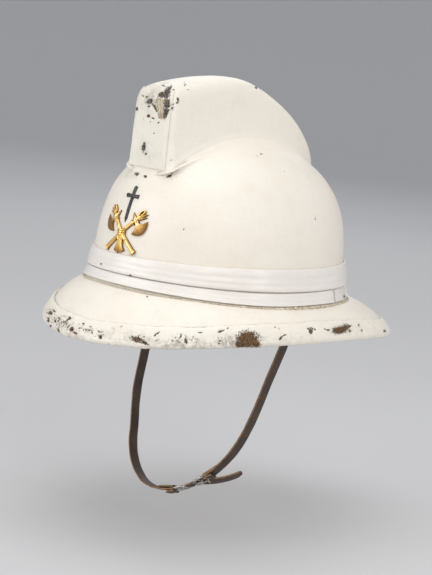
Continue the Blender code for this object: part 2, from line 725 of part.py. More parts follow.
def make_strap(name, path, finish):
    """Flat leather strap along a path, lying flat against cheek and chin."""
    along = np.gradient(path, axis=0)
    along /= np.linalg.norm(along, axis=1, keepdims=True)
    out = np.array([strap_outward(point) for point in path])
    out -= along * np.sum(out * along, axis=1, keepdims=True)
    out /= np.linalg.norm(out, axis=1, keepdims=True)
    across = np.cross(along, out)
    side, thick = STRAP_WIDTH / 2, STRAP_LEATHER / 2
    corners = ((-1.0, -0.5), (-1.0, 0.5), (-0.8, 1.0), (0.8, 1.0), (1.0, 0.5), (1.0, -0.5), (0.8, -1.0),
               (-0.8, -1.0))
    rails = [path + across * side * a + out * thick * b for a, b in corners]
    return swept_section(name, rails, finish, closed=False)


def strap_frame(path, place):
    """Centre, along, across and out directions of the strap at a place in its path."""
    along = path[place + 1] - path[place - 1]
    along /= np.linalg.norm(along)
    out = strap_outward(path[place])
    out -= along * np.dot(out, along)
    out /= np.linalg.norm(out)
    across = np.cross(along, out)
    return path[place], along, across, out


def make_buckle(name, frame, finish):
    """Rectangular wire frame with one window, lying flat on the strap's line."""
    centre, along, across, out = frame
    half_w, half_l = BUCKLE_WIDTH / 2, BUCKLE_LENGTH / 2
    in_w, in_l = half_w - BUCKLE_BAR, half_l - BUCKLE_BAR
    cut = BUCKLE_BAR * 0.6

    def rounded(w, l):
        return [(-w + cut, -l), (w - cut, -l), (w, -l + cut), (w, l - cut), (w - cut, l), (-w + cut, l),
                (-w, l - cut), (-w, -l + cut)]

    rails = []
    for loop, level in ((rounded(half_w, half_l), -1), (rounded(half_w, half_l), 1),
                        (rounded(in_w, in_l), 1), (rounded(in_w, in_l), -1)):
        rails.append(np.array([centre + across * a + along * b + out * level * BUCKLE_THICKNESS / 2
                               for a, b in loop]))
    return swept_section(name, rails, finish)


def loop_length(route):
    return float(np.sum(np.linalg.norm(np.diff(route, axis=0), axis=1)))


def stretch(route, start, end, step):
    """Points every step along a dense route, from one distance to another."""
    chords = np.concatenate([[0.0], np.cumsum(np.linalg.norm(np.diff(route, axis=0), axis=1))])
    places = np.linspace(start, end, max(3, int(round((end - start) / step)) + 1))
    return np.stack([np.interp(places, chords, route[:, axis]) for axis in range(3)], axis=1)


def make_chin_strap(leather, metal):
    """The strap's whole loop from lug to lug: two buckles join its lengths, and a free end hangs back."""
    fine = BUCKLE_LENGTH / 12
    half_loop = smooth_route(route_points(STRAP_ROUTE, CROWN_WIDTH / 2, STRAP_DROP), fine)
    loop = np.concatenate([half_loop, half_loop[:-1][::-1] * (-1, 1, 1)])
    middle = loop_length(half_loop)
    left_place = middle - BUCKLE_LEFT_FROM_CHIN
    chin_place = middle - BUCKLE_CHIN_FROM_CHIN
    clear = BUCKLE_LENGTH / 2 + GAP
    make_strap("strap_left", stretch(loop, 0.0, left_place - clear, STRAP_STEP), leather)
    make_strap("strap_link", stretch(loop, left_place + clear, chin_place - clear, STRAP_STEP), leather)
    make_strap("strap_right", stretch(loop, chin_place + clear, loop_length(loop), STRAP_STEP), leather)
    frames = {name: strap_frame(stretch(loop, place - fine, place + fine, fine), 1)
              for name, place in (("buckle_left", left_place), ("buckle_chin", chin_place))}
    for name, frame in frames.items():
        make_buckle(name, frame, metal)
    centre, along, across, out = frames["buckle_left"]
    start = centre - out * (BUCKLE_THICKNESS / 2 + STRAP_LEATHER / 2 + 2 * GAP)
    tail = start + np.concatenate([np.zeros((1, 3)), route_points(TAIL_ROUTE, TAIL_LENGTH, TAIL_LENGTH)])
    make_strap("strap_tail", smooth_route(tail, STRAP_STEP), leather)


def inner_wall_x(y, z):
    """Half width of the crown's inner wall at y and z, under the band."""
    numbers = np.arange(CREST_ROW + 1)
    rows = np.linspace(CROWN_FOOT_ROW, BAND_TOP_ROW, 21)
    heights, widths, rears = (smooth_table(numbers, SECTIONS[key], rows) for key in ("side_z", "width", "rear"))
    width = np.interp(z, heights, widths) - SHELL_WALL
    rear = np.interp(z, heights, rears) - SHELL_WALL
    return width * math.sqrt(1 - (y / rear) ** 2)


def make_lug(name, side, finish):
    """Plain lug seated on the crown's inner wall, above the strap's end."""
    x_out = inner_wall_x(LUG_BACK + LUG_WIDTH / 2, LUG_UP) - GAP
    x_in = x_out - LUG_THICKNESS
    low, high = LUG_UP, LUG_UP + LUG_HEIGHT
    near, far = LUG_BACK - LUG_WIDTH / 2, LUG_BACK + LUG_WIDTH / 2
    lean = inner_wall_x(LUG_BACK + LUG_WIDTH / 2, high) - GAP - x_out
    corners = [(x_in, low), (x_out, low), (x_out + lean, high), (x_in + lean, high)]
    points = [(x * side, y, z) for y in (near, far) for x, z in corners]
    faces = [(0, 1, 2, 3), (7, 6, 5, 4), (0, 4, 5, 1), (1, 5, 6, 2), (2, 6, 7, 3), (3, 7, 4, 0)]
    return node(name, points, faces, finish)


def build():
    clear_scene()
    paint = material("white_paint", (0.86, 0.80, 0.68), 0.45)
    band_paint = material("band_paint", (0.82, 0.79, 0.77), 0.35)
    gilt = material("gilt_metal", (0.80, 0.55, 0.20), 0.30, 1.0)
    dark_metal = material("dark_metal", (0.09, 0.09, 0.10), 0.45, 0.8)
    leather = material("strap_leather", (0.10, 0.055, 0.03), 0.6)
    steel = material("buckle_metal", (0.60, 0.60, 0.60), 0.35, 1.0)

    make_shell(paint)
    make_binding(paint)
    make_facing(paint)
    make_bands(band_paint)
    make_axes(gilt)
    make_sword(dark_metal)

    make_chin_strap(leather, steel)
    make_lug("lug_left", 1, dark_metal)
    make_lug("lug_right", -1, dark_metal)


build()
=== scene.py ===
import math

import bmesh
import bpy
import numpy as np
from mathutils import Matrix, Vector


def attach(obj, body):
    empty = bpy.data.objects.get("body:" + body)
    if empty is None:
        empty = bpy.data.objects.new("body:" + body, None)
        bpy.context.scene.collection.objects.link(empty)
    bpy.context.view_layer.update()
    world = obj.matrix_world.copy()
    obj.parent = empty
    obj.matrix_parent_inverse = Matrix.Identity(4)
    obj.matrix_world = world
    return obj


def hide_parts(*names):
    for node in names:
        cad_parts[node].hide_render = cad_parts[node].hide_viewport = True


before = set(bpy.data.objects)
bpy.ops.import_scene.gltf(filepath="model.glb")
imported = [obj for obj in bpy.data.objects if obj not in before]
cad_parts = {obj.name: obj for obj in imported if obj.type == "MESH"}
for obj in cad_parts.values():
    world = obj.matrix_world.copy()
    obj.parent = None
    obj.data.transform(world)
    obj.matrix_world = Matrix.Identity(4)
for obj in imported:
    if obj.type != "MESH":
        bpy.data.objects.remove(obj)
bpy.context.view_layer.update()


# Camera, floor and light

# The camera stands to the front and the wearer's left, a little above the brim, and looks slightly down.
# The floor is one pale sheet that curves up all round, far off. Light is a pale sky and five soft lamps:
# overhead, front, camera's side, a narrow strip at the wearer's left, and behind.
PICTURE_HIGH = 575
FOCAL_PIXELS = 1785.0
EYE = np.array((1.0413, -1.0638, 0.2190))
AHEAD = np.array((-0.69206, 0.70714, -0.14492))
RIGHT = np.array((0.70091, 0.70631, 0.09927))
UP = np.array((-0.17255, 0.03288, 0.98445))

lens = bpy.data.cameras.new("camera")
lens.sensor_width = 36.0
lens.lens = FOCAL_PIXELS / PICTURE_HIGH * lens.sensor_width
lens.clip_start, lens.clip_end = 0.05, 40.0
camera = bpy.data.objects.new("camera", lens)
camera.matrix_world = Matrix.Translation(Vector(EYE)) @ Matrix(
    (Vector(RIGHT), Vector(UP), -Vector(AHEAD))).transposed().to_4x4()
bpy.context.scene.collection.objects.link(camera)
bpy.context.scene.camera = camera
bpy.context.scene.view_settings.view_transform = "Standard"


def finish_named(name):
    """A new material with its node tree, main shader and output ready."""
    made = bpy.data.materials.new(name)
    made.use_nodes = True
    return made, made.node_tree, made.node_tree.nodes["Principled BSDF"]


FLOOR_PROFILE = ((0.0, -0.20), (2.6, -0.20), (3.6, -0.12), (4.6, 0.25), (5.4, 1.0), (5.9, 2.2), (6.1, 4.2))
FLOOR_SIDES = 96
around = np.linspace(0, 2 * math.pi, FLOOR_SIDES, endpoint=False)
floor_points = [(reach * math.cos(a), reach * math.sin(a), z)
                for reach, z in FLOOR_PROFILE[1:] for a in around]
floor_faces = [tuple(range(FLOOR_SIDES))]
for level in range(len(FLOOR_PROFILE) - 2):
    for side in range(FLOOR_SIDES):
        low, beside = level * FLOOR_SIDES, (side + 1) % FLOOR_SIDES
        floor_faces.append((low + side, low + FLOOR_SIDES + side, low + FLOOR_SIDES + beside, low + beside))
floor_mesh = bpy.data.meshes.new("floor")
floor_mesh.from_pydata(floor_points, [], floor_faces)
floor_mesh.shade_smooth()
floor = bpy.data.objects.new("floor", floor_mesh)
bpy.context.scene.collection.objects.link(floor)
floor_paper, tree, shader = finish_named("floor_paper")
shader.inputs["Base Color"].default_value = (0.66, 0.66, 0.67, 1)
shader.inputs["Roughness"].default_value = 0.9
shader.inputs["Specular IOR Level"].default_value = 0.1
floor_mesh.materials.append(floor_paper)

LAMPS = {
    "overhead": {"at": (0.25, -0.10, 1.75), "size": (1.5, 1.5), "watts": 11.2},
    "front": {"at": (-0.75, -2.20, 0.75), "size": (1.8, 1.6), "watts": 26.8},
    "camera_side": {"at": (2.2, -0.9, 1.1), "size": (1.5, 1.4), "watts": 18.0},
    "left_strip": {"at": (2.2, 0.45, 0.60), "size": (0.35, 1.5), "watts": 8.5},
    "behind": {"at": (-1.7, 1.9, 1.3), "size": (1.4, 1.4), "watts": 8.0},
}
for name, lamp in LAMPS.items():
    light = bpy.data.lights.new(name, "AREA")
    light.shape = "RECTANGLE"
    light.size, light.size_y = lamp["size"]
    light.energy = lamp["watts"]
    light.color = (1.0, 0.987, 0.965)
    stand = bpy.data.objects.new(name, light)
    stand.location = lamp["at"]
    stand.rotation_euler = (Vector((0, 0, 0.05)) - Vector(lamp["at"])).to_track_quat("-Z", "Y").to_euler()
    bpy.context.scene.collection.objects.link(stand)
sky = bpy.data.worlds.new("studio")
sky.use_nodes = True
sky.node_tree.nodes["Background"].inputs["Color"].default_value = (0.93, 0.95, 1.0, 1)
sky.node_tree.nodes["Background"].inputs["Strength"].default_value = 0.50
bpy.context.scene.world = sky


# Shell: crown, comb and brim

# Crown, comb and brim are one wall of moulded cork, with cloth glued over it and cream oil paint brushed
# on thickly. Years of knocks have chipped the paint to the grey cloth at the comb's front corner, and to
# the brown cork round the brim.
CROWN_WIDTH, CROWN_FRONT, CROWN_REAR, CROWN_RISE = 0.184, 0.1135, 0.119, 0.098
SHELL_WALL = 0.003
COMB_WIDTH, COMB_FRONT, COMB_REAR, COMB_HEIGHT, COMB_CORNER = 0.048, 0.0925, 0.100, 0.1455, 0.007
COMB_FOOT_FRONT, COMB_FOOT_REAR, COMB_REAR_TAPER = 0.067, 0.0625, 0.80
BAND_HEIGHT, BAND_FRONT_LIFT, BAND_REAR_DROP, BAND_FLARE = 0.032, 0.006, 0.003, 0.004
MIDDLE_FLARE_SHARE = 0.45
CROWN_FOOT_UP = 0.002
BRIM_SIDE, BRIM_FRONT, BRIM_REAR = 0.0252, 0.0360, 0.0595
BRIM_DROP_SIDE, BRIM_DROP_FRONT, BRIM_DROP_REAR = 0.0212, 0.039, 0.0348
FLAT_SHARE, CORNER_SHARE = 3 / 14, 4 / 14
SHELL_QUARTER = 80

# Brim from the rim inwards: shares of its overhang and of its drop
BRIM_SECTIONS = ((1.00, 1.00), (0.95, 0.88), (0.85, 0.71), (0.65, 0.45), (0.40, 0.21), (0.15, 0.05),
                 (0.00, 0.00))
# Crown: shares of its width, front and rear reach, heights at side, front and rear, roundness, and how far
# the columns gather for the comb
CROWN_SECTIONS = (
    (1.000, 1.000, 1.000, 0.000, 0.000, 0.000, 1.00, 0.00),
    (0.980, 0.978, 0.982, 0.204, 0.204, 0.204, 1.00, 0.00),
    (0.933, 0.941, 0.945, 0.408, 0.378, 0.388, 1.00, 0.05),
    (0.850, 0.904, 0.905, 0.592, 0.500, 0.500, 1.00, 0.20),
    (0.737, 0.876, 0.880, 0.735, 0.571, 0.556, 1.00, 0.40),
    (0.596, 0.854, 0.863, 0.857, 0.622, 0.592, 0.97, 0.65),
    (0.427, 0.833, 0.852, 0.949, 0.658, 0.617, 0.80, 0.85),
)
# Comb: shares of its height, half width and front reach. The last row rounds off the crest.
COMB_SECTIONS = (
    (0.00, 1.16, 1.000), (0.06, 1.08, 0.999), (0.15, 1.03, 0.998), (0.45, 0.965, 0.997), (0.75, 0.92, 0.995),
    (0.87, 0.87, 0.988), (0.94, 0.78, 0.972), (0.98, 0.61, 0.948), (1.00, 0.35, 0.918), (1.003, 0.08, 0.895),
)
# Crest line: shares of the comb's front (negative) or rear reach, and of its height
CREST_LINE = ((-1.00, 0.919), (-0.91, 0.936), (-0.73, 0.962), (-0.54, 0.981), (-0.35, 0.993), (-0.15, 0.999),
              (0.00, 0.985), (0.126, 0.956), (0.347, 0.887), (0.579, 0.790), (0.705, 0.722), (0.83, 0.640),
              (0.895, 0.585), (0.958, 0.520), (1.00, 0.465))


def smooth_table(places, values, at):
    """Smooth curve through the values at the places, read at one place or many."""
    places, values = np.asarray(places, float), np.asarray(values, float)
    slopes = np.gradient(values, places)
    at = np.clip(np.asarray(at, float), places[0], places[-1])
    span = np.clip(np.searchsorted(places, at, side="right") - 1, 0, len(places) - 2)
    width = places[span + 1] - places[span]
    share = (at - places[span]) / width
    start, end = values[span], values[span + 1]
    out, into = slopes[span] * width, slopes[span + 1] * width
    square, cube = share ** 2, share ** 3
    return (start * (2 * cube - 3 * square + 1) + out * (cube - 2 * square + share)
            + end * (3 * square - 2 * cube) + into * (cube - square))


SECTION_KEYS = ("width", "front", "rear", "side_z", "front_z", "rear_z", "corner_x", "corner_y", "taper",
                "spacing", "comb")
half_crown = CROWN_WIDTH / 2
section_rows = []
for out, down in BRIM_SECTIONS:
    section_rows.append((half_crown + BAND_FLARE + BRIM_SIDE * out,
                         CROWN_FRONT + BAND_FLARE + BRIM_FRONT * out,
                         CROWN_REAR + BAND_FLARE + BRIM_REAR * out, CROWN_FOOT_UP - BRIM_DROP_SIDE * down,
                         CROWN_FOOT_UP + BAND_FRONT_LIFT - BRIM_DROP_FRONT * down,
                         CROWN_FOOT_UP - BAND_REAR_DROP - BRIM_DROP_REAR * down, 1, 1, 1, 0, 0))
flare = BAND_FLARE * MIDDLE_FLARE_SHARE
section_rows.append((half_crown + flare, CROWN_FRONT + flare, CROWN_REAR + flare, BAND_HEIGHT / 2,
                     (BAND_HEIGHT + BAND_FRONT_LIFT) / 2, (BAND_HEIGHT - BAND_REAR_DROP) / 2, 1, 1, 1, 0, 0))
for width, front, rear, side_up, front_up, rear_up, roundness, spacing in CROWN_SECTIONS:
    section_rows.append((half_crown * width, CROWN_FRONT * front, CROWN_REAR * rear,
                         BAND_HEIGHT + CROWN_RISE * side_up, BAND_HEIGHT + CROWN_RISE * front_up,
                         BAND_HEIGHT + CROWN_RISE * rear_up, roundness, roundness, 1, spacing, 0))
for up, width, front in COMB_SECTIONS:
    half_comb, comb_reach = COMB_WIDTH / 2 * width, COMB_FRONT * front
    section_rows.append((half_comb, comb_reach, COMB_REAR, BAND_HEIGHT + CROWN_RISE,
                         BAND_HEIGHT + COMB_FOOT_FRONT, BAND_HEIGHT + COMB_FOOT_REAR,
                         min(COMB_CORNER / half_comb, 0.9),
                         COMB_CORNER / comb_reach, COMB_REAR_TAPER, 1, up))
SECTIONS = np.array(section_rows)
CROWN_FOOT_ROW = len(BRIM_SECTIONS) - 1
BAND_TOP_ROW = CROWN_FOOT_ROW + 2
COMB_FOOT_ROW = BAND_TOP_ROW + len(CROWN_SECTIONS)
CREST_ROW = len(SECTIONS) - 1


def quarter_plan(width, reach, corner_x, corner_y, spacing, quarter):
    """Plan of a quarter ring from the centre line to the side."""
    turn = np.linspace(0, math.pi / 2, 400)
    xs = np.concatenate([[0.0], width * (1 - corner_x) + width * corner_x * np.sin(turn), [width]])
    ys = np.concatenate([[reach], reach * (1 - corner_y) + reach * corner_y * np.cos(turn), [0.0]])
    length = np.concatenate([[0.0], np.cumsum(np.hypot(np.diff(xs), np.diff(ys)))])
    flat, bend = COMB_WIDTH / 2 - COMB_CORNER, COMB_CORNER * math.pi / 2
    whole = flat + bend + COMB_FRONT - COMB_CORNER
    even = np.linspace(0, 1, quarter + 1)
    gathered = np.interp(even, [0, FLAT_SHARE, FLAT_SHARE + CORNER_SHARE, 1],
                         [0, flat / whole, (flat + bend) / whole, 1])
    share = (even * (1 - spacing) + gathered * spacing) * length[-1]
    return np.interp(share, length, xs), np.interp(share, length, ys)


def ring(row, quarter):
    """One ring of the shell's outer face at a section number, which need not be whole: columns run from the
    front over the wearer's left to the rear and back over the right."""
    size = dict(zip(SECTION_KEYS, (float(smooth_table(range(len(SECTIONS)), SECTIONS[:, key], row))
                                   for key in range(len(SECTION_KEYS)))))
    front_x, front_y = quarter_plan(size["width"], size["front"], min(size["corner_x"], 1.0),
                                    min(size["corner_y"], 1.0), size["spacing"], quarter)
    rear_x, rear_y = quarter_plan(size["width"], size["rear"], 1.0, min(size["taper"], 1.0), 0.0, quarter)
    x = np.concatenate([front_x, rear_x[::-1][1:]])
    y = np.concatenate([-front_y, rear_y[::-1][1:]])
    end_z = np.where(y < 0, size["front_z"], size["rear_z"])
    reach = np.where(y < 0, size["front"], size["rear"])
    base = size["side_z"] + (end_z - size["side_z"]) * (y / reach) ** 2
    along = np.where(y < 0, y / COMB_FRONT, y / COMB_REAR)
    marks = np.array(CREST_LINE)
    crest = BAND_HEIGHT + COMB_HEIGHT * smooth_table(marks[:, 0], marks[:, 1], along)
    left = np.stack([x, y, base + size["comb"] * (crest - base)], axis=1)
    return np.concatenate([left, left[1:-1][::-1] * (-1, 1, 1)])


def surface(rows, quarter):
    """Points and outward normals of the shell's outer face: arrays of rows by columns by 3."""
    points = np.array([ring(row, quarter) for row in rows])
    step = 0.02
    above = np.array([ring(min(row + step, CREST_ROW), quarter) for row in rows])
    below = np.array([ring(max(row - step, 0), quarter) for row in rows])
    beside = np.roll(points, -1, axis=1) - np.roll(points, 1, axis=1)
    out = np.cross(beside, above - below)
    return points, out / np.maximum(np.linalg.norm(out, axis=2, keepdims=True), 1e-12)


def unevenness(points, size, seed, waves=14):
    """Gentle hand-made unevenness between about -1 and 1, in lumps of about this size."""
    dice = np.random.default_rng(seed)
    ways = dice.normal(size=(waves, 3))
    ways *= (2 * math.pi / size) / np.linalg.norm(ways, axis=1, keepdims=True)
    ways *= dice.uniform(0.6, 1.4, size=(waves, 1))
    phases = dice.uniform(0, 2 * math.pi, waves)
    return np.sin(points @ ways.T + phases).sum(axis=-1) / math.sqrt(waves * 2)


def hand_made(points, lumps, seed):
    """Unevenness in metres. lumps gives each kind's size and how far it stands."""
    return sum(unevenness(points, size, seed + number) * depth for number, (size, depth) in enumerate(lumps))


PICTURE_WIDE = 432


def in_picture(points):
    """Where points land in the photograph's 432 x 575 frame."""
    away = points - EYE
    depth = away @ AHEAD
    return (PICTURE_WIDE / 2 + FOCAL_PIXELS * (away @ RIGHT) / depth,
            PICTURE_HIGH / 2 - FOCAL_PIXELS * (away @ UP) / depth)


# Chips: where each is in the photograph, half its width and height there, its slant in degrees, and how
# brown it is (0 grey-black cloth, 1 brown cork fibres, 2 pale straw)
CHIPS = (
    # comb's front corner, and the spots near it
    (167.5, 93, 3.0, 6.0, 4, 0.0), (162.5, 95.5, 3.4, 2.8, 0, 0.1), (167.3, 104.5, 3.0, 6.0, 5, 0.0),
    (166.5, 112, 2.4, 7.0, 12, 0.0), (170.6, 87, 1.0, 2.6, 20, 0.1), (172.3, 108.5, 1.6, 1.3, 0, 0.3),
    (160.5, 101.5, 4.2, 2.6, 0, 2.0), (160.5, 108, 3.4, 5.5, -25, 2.0), (161.5, 115.5, 2.8, 3.8, -20, 1.8),
    (155.6, 107.6, 1.0, 5.4, -30, 0.3), (150.4, 101.5, 3.8, 2.4, -20, 0.3),
    (149.8, 106.5, 1.1, 1.1, 0, 0.3), (144.0, 96.2, 1.3, 0.7, 30, 0.3), (147.8, 97.4, 1.6, 0.7, -30, 0.3),
    (178.3, 99.5, 1.1, 2.0, -20, 0.3), (177.2, 103, 1.2, 1.0, 0, 0.3), (173.3, 104.4, 1.1, 1.0, 0, 0.4),
    (173.7, 89.5, 0.9, 0.8, 0, 0.3), (188.1, 89.7, 1.0, 0.8, 0, 0.3), (149.4, 116.3, 1.9, 1.5, 0, 0.9),
    (154.2, 118.2, 1.7, 0.9, 30, 0.9), (151.5, 122, 0.8, 0.8, 0, 0.8), (159.3, 122.8, 0.9, 0.8, 0, 0.6),
    (144.8, 118, 0.8, 0.7, 0, 0.4), (185, 84, 0.7, 2.6, -15, 0.2), (163, 85, 2.2, 0.6, 25, 0.2),
    (138, 109, 1.0, 2.0, 0, 0.2), (144.5, 147, 1.9, 4.6, 4, 0.0), (147, 154, 1.0, 1.2, 0, 0.0),
    (154.5, 133.5, 0.8, 0.7, 0, 0.4), (137, 174, 2.2, 1.8, -30, 0.0), (145.5, 176.5, 1.5, 1.3, 0, 0.1),
    (169.5, 176, 2.8, 1.3, -28, 0.1), (172, 173, 0.9, 0.8, 0, 0.2), (171, 160, 0.9, 0.7, 0, 0.3),
    (181, 142, 0.8, 0.6, 0, 0.4),
    # crown
    (188, 210, 1.4, 0.6, -20, 0.4), (194, 208, 1.0, 0.6, 0, 0.3), (184, 229, 1.0, 0.7, 0, 0.4),
    (260, 154.3, 4.2, 0.6, -20, 0.4), (284, 171.4, 0.8, 0.7, 0, 0.4), (315.5, 218, 0.7, 1.9, 0, 0.5),
    (196, 225, 0.8, 0.5, 0, 0.4), (256, 88, 1.4, 0.8, 30, 0.5),
    # brim's front
    (50, 313, 2.6, 1.6, 0, 0.5), (48, 320, 1.3, 2.6, 0, 0.4), (54, 311, 1.8, 1.0, 40, 0.3),
    (69, 318, 1.8, 1.6, 0, 0.3), (71, 329, 2.4, 2.2, 20, 0.9), (75, 333, 2.4, 1.2, 25, 0.9),
    (83, 324, 1.4, 1.2, 0, 0.5), (79, 328, 1.2, 0.9, 0, 0.4), (63, 322, 1.2, 1.0, 0, 0.4),
    (100, 337, 1.6, 2.4, 0, 0.8), (137, 339.6, 6.4, 2.5, 16, 0.55), (144, 342.6, 4.6, 1.5, 24, 0.5),
    (55, 321, 1.0, 1.6, 20, 0.3), (59, 318, 1.2, 0.8, 0, 0.3), (66, 324, 1.3, 1.0, -30, 0.4),
    (50, 327, 1.0, 2.4, 30, 0.6), (58, 330, 0.8, 2.6, -35, 0.6), (86, 330, 1.8, 1.1, 30, 0.5),
    (90, 327, 1.6, 0.7, 0, 0.4), (113, 328.5, 2.2, 0.7, 12, 0.3), (155, 335, 1.0, 1.6, 25, 0.4),
    (158, 333, 2.4, 0.8, -35, 0.4), (181, 336, 0.8, 2.2, 30, 0.3), (176, 333, 2.6, 0.5, 6, 0.2),
    (146, 331.6, 4.6, 0.45, 3, 0.2), (165, 332.6, 5.6, 0.45, 2, 0.2), (199, 332.6, 4.2, 0.45, -6, 0.2),
    (121, 326, 1.2, 0.9, 0, 0.4), (186, 341, 1.6, 3.0, -12, 0.3), (221, 331, 3.4, 1.2, -22, 0.3),
    # the big brown chip and the rear part of the brim
    (248, 339.5, 11.0, 8.6, 0, 1.0), (240, 345, 5.5, 3.6, 30, 1.0), (256, 344, 4.6, 4.4, -30, 1.0),
    (281, 338, 2.6, 1.2, -50, 0.2), (285, 335, 2.2, 0.8, -25, 0.2), (311, 331, 2.0, 3.2, 0, 0.7),
    (308, 328, 1.2, 0.9, 0, 0.5), (315, 329, 0.9, 1.2, 0, 0.5), (340, 330, 7.4, 3.8, -10, 1.0),
    (346, 327, 3.4, 2.6, 10, 0.9), (328, 330, 1.5, 1.2, 0, 0.7), (325, 329, 0.9, 1.0, 0, 0.6),
    (350, 331, 1.7, 1.0, 0, 0.7), (350, 326, 1.7, 0.9, 0, 0.6), (359, 325, 1.0, 1.3, 0, 0.6),
    (362, 330, 1.0, 1.0, 0, 0.6), (385, 331, 1.5, 1.1, 0, 0.8), (275, 327, 1.0, 0.7, 0, 0.6),
    (279, 328, 1.0, 0.7, 0, 0.6), (228, 328, 1.2, 0.8, 0, 0.3),
    # specks on the band
    (101, 264, 0.9, 1.2, 0, 0.1), (130.5, 275.5, 1.8, 0.9, 20, 0.4), (147, 296, 1.3, 0.8, 0, 0.4),
    (344, 296, 1.2, 1.6, 0, 0.6),
)
# Places with many small chips: where in the photograph, half width and height, slant, and how many
SCUFFS = (
    (62, 322, 26, 12, 28, 1.0), (50, 312, 10, 10, 0, 0.9), (95, 332, 32, 8, 12, 0.92),
    (140, 338, 32, 9, 4, 0.86), (185, 340, 32, 10, 0, 0.90), (225, 340, 24, 9, -4, 0.90),
    (262, 338, 16, 9, -6, 0.7), (300, 335, 26, 8, -5, 0.6), (342, 330, 26, 6, -5, 0.6),
    (382, 330, 12, 8, 0, 0.4), (150, 100, 15, 18, 0, 0.75), (172, 100, 14, 16, 0, 0.5),
    (140, 176, 14, 6, 0, 0.6), (172, 178, 12, 8, 0, 0.65), (160, 150, 12, 26, 0, 0.35),
    (245, 88, 60, 6, 0, 0.25), (190, 212, 16, 12, 0, 0.3),
)
# Grimy places: where, half width and height, slant, and how dark
GRIME = (
    (186, 345, 46, 6, 0, 0.80), (228, 343, 18, 8, 0, 0.80), (130, 338, 40, 7, 10, 0.50),
    (70, 334, 26, 8, 28, 0.55), (152, 99, 13, 14, 0, 0.55), (147, 152, 7, 9, 0, 0.35),
    (285, 340, 30, 4, -5, 0.35), (262, 342, 14, 8, 0, 0.4), (344, 330, 18, 5, 0, 0.35),
    (131, 176, 12, 3, 0, 0.3), (163, 84, 8, 3, -20, 0.5),
)
# Unseen stretches of the rim get chips of the same kinds, evenly scattered
RIM_CHIPS_ROUND = 46


def wear_fields(points, normals):
    """How near each point is to a chip (0.5 on its edge), how brown that chip is, and how scuffed and how
    grimy the paint is there."""
    flat, faces = points.reshape(-1, 3), normals.reshape(-1, 3)
    across, down = in_picture(flat)
    towards = (EYE - flat) / np.linalg.norm(EYE - flat, axis=1, keepdims=True)
    seen = np.clip(np.sum(faces * towards, axis=1) * 6 + 0.6, 0, 1)

    def nearness(x, y, half_wide, half_high, slant):
        cos, sin = math.cos(math.radians(slant)), math.sin(math.radians(slant))
        right, below = across - x, down - y
        return np.hypot((right * cos + below * sin) / half_wide, (-right * sin + below * cos) / half_high)

    chip, brown = np.zeros(len(flat)), np.zeros(len(flat))
    for x, y, half_wide, half_high, slant, is_brown in CHIPS:
        near = np.clip(1 - nearness(x, y, half_wide, half_high, slant) / 2, 0, 1) * seen
        brown = np.where(near > chip, is_brown, brown)
        chip = np.maximum(chip, near)
    scuff, grime_and_shade = np.zeros(len(flat)), np.zeros(len(flat))
    for places, field in ((SCUFFS, scuff), (GRIME, grime_and_shade)):
        for x, y, half_wide, half_high, slant, strength in places:
            near = np.exp(-nearness(x, y, half_wide, half_high, slant) ** 2) * strength * seen
            np.maximum(field, near, out=field)
    dice = np.random.default_rng(7)
    rim = ring(0.25, 256)
    for place in dice.permutation(len(rim))[:RIM_CHIPS_ROUND]:
        centre = rim[place] + dice.normal(size=3) * (0.001, 0.001, 0.002)
        size, is_brown = dice.choice((0.0012, 0.0018, 0.0026, 0.0042)), dice.uniform(0.2, 1.0)
        if np.dot(centre, EYE * (1, 1, 0)) > 0.0:
            continue
        apart = (flat - centre) * (1, 1, 1.5)
        near = np.clip(1 - np.linalg.norm(apart, axis=1) / (2 * size), 0, 1)
        brown = np.where(near > chip, is_brown, brown)
        chip = np.maximum(chip, near)
        scuff = np.maximum(scuff, np.exp(-np.sum(apart ** 2, axis=1) / 0.014 ** 2) * 0.8)
        grime_and_shade = np.maximum(grime_and_shade, np.exp(-np.sum(apart ** 2, axis=1) / 0.016 ** 2) * 0.4)
    return {"chip": chip, "brown": brown, "scuff": scuff, "grime_and_shade": grime_and_shade}


def chip_depth(points, fields):
    """How far the surface sinks where the paint is gone, 0 to 1, with a ragged edge."""
    flat = points.reshape(-1, 3)
    ragged = unevenness(flat, 0.006, 11) * 0.07 + unevenness(flat, 0.0025, 12) * 0.05
    return np.clip((fields["chip"] + ragged - 0.47) / 0.07, 0, 1)


def painted_object(name, points, faces, fields, lay, material):
    """A mesh object whose points carry the wear fields, with any painted shade added to them, and lay, the
    direction that the brush followed.
    """
    mesh = bpy.data.meshes.new(name)
    mesh.from_pydata(points.tolist(), [], faces)
    for field, values in fields.items():
        mesh.attributes.new(field, "FLOAT", "POINT").data.foreach_set("value", values.astype(np.float32))
    mesh.attributes.new("lay", "FLOAT_VECTOR", "POINT").data.foreach_set(
        "vector", lay.astype(np.float32).ravel())
    mesh.shade_smooth()
    mesh.materials.append(material)
    made = bpy.data.objects.new(name, mesh)
    bpy.context.scene.collection.objects.link(made)
    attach(made, "root")
    return made


def grid_faces(rows, columns, closed=True, first=0, flip=False):
    """Quads between neighbouring rows of points stored row after row."""
    faces = []
    for row in range(rows - 1):
        low = first + row * columns
        for column in range(columns if closed else columns - 1):
            beside = (column + 1) % columns
            quad = (low + column, low + beside, low + columns + beside, low + columns + column)
            faces.append(quad[::-1] if flip else quad)
    return faces


def brush_lay(points, radius=0.12):
    """Per point: two coordinates round the helmet and one along the surface from the rim."""
    step = np.linalg.norm(np.diff(points, axis=0), axis=2)
    along = np.concatenate([np.zeros((1, points.shape[1])), np.cumsum(step, axis=0)])
    turn = np.linspace(0, 2 * math.pi, points.shape[1], endpoint=False)
    turn = np.broadcast_to(turn, along.shape)
    return np.stack([np.cos(turn) * radius, np.sin(turn) * radius, along], axis=2).reshape(-1, 3)


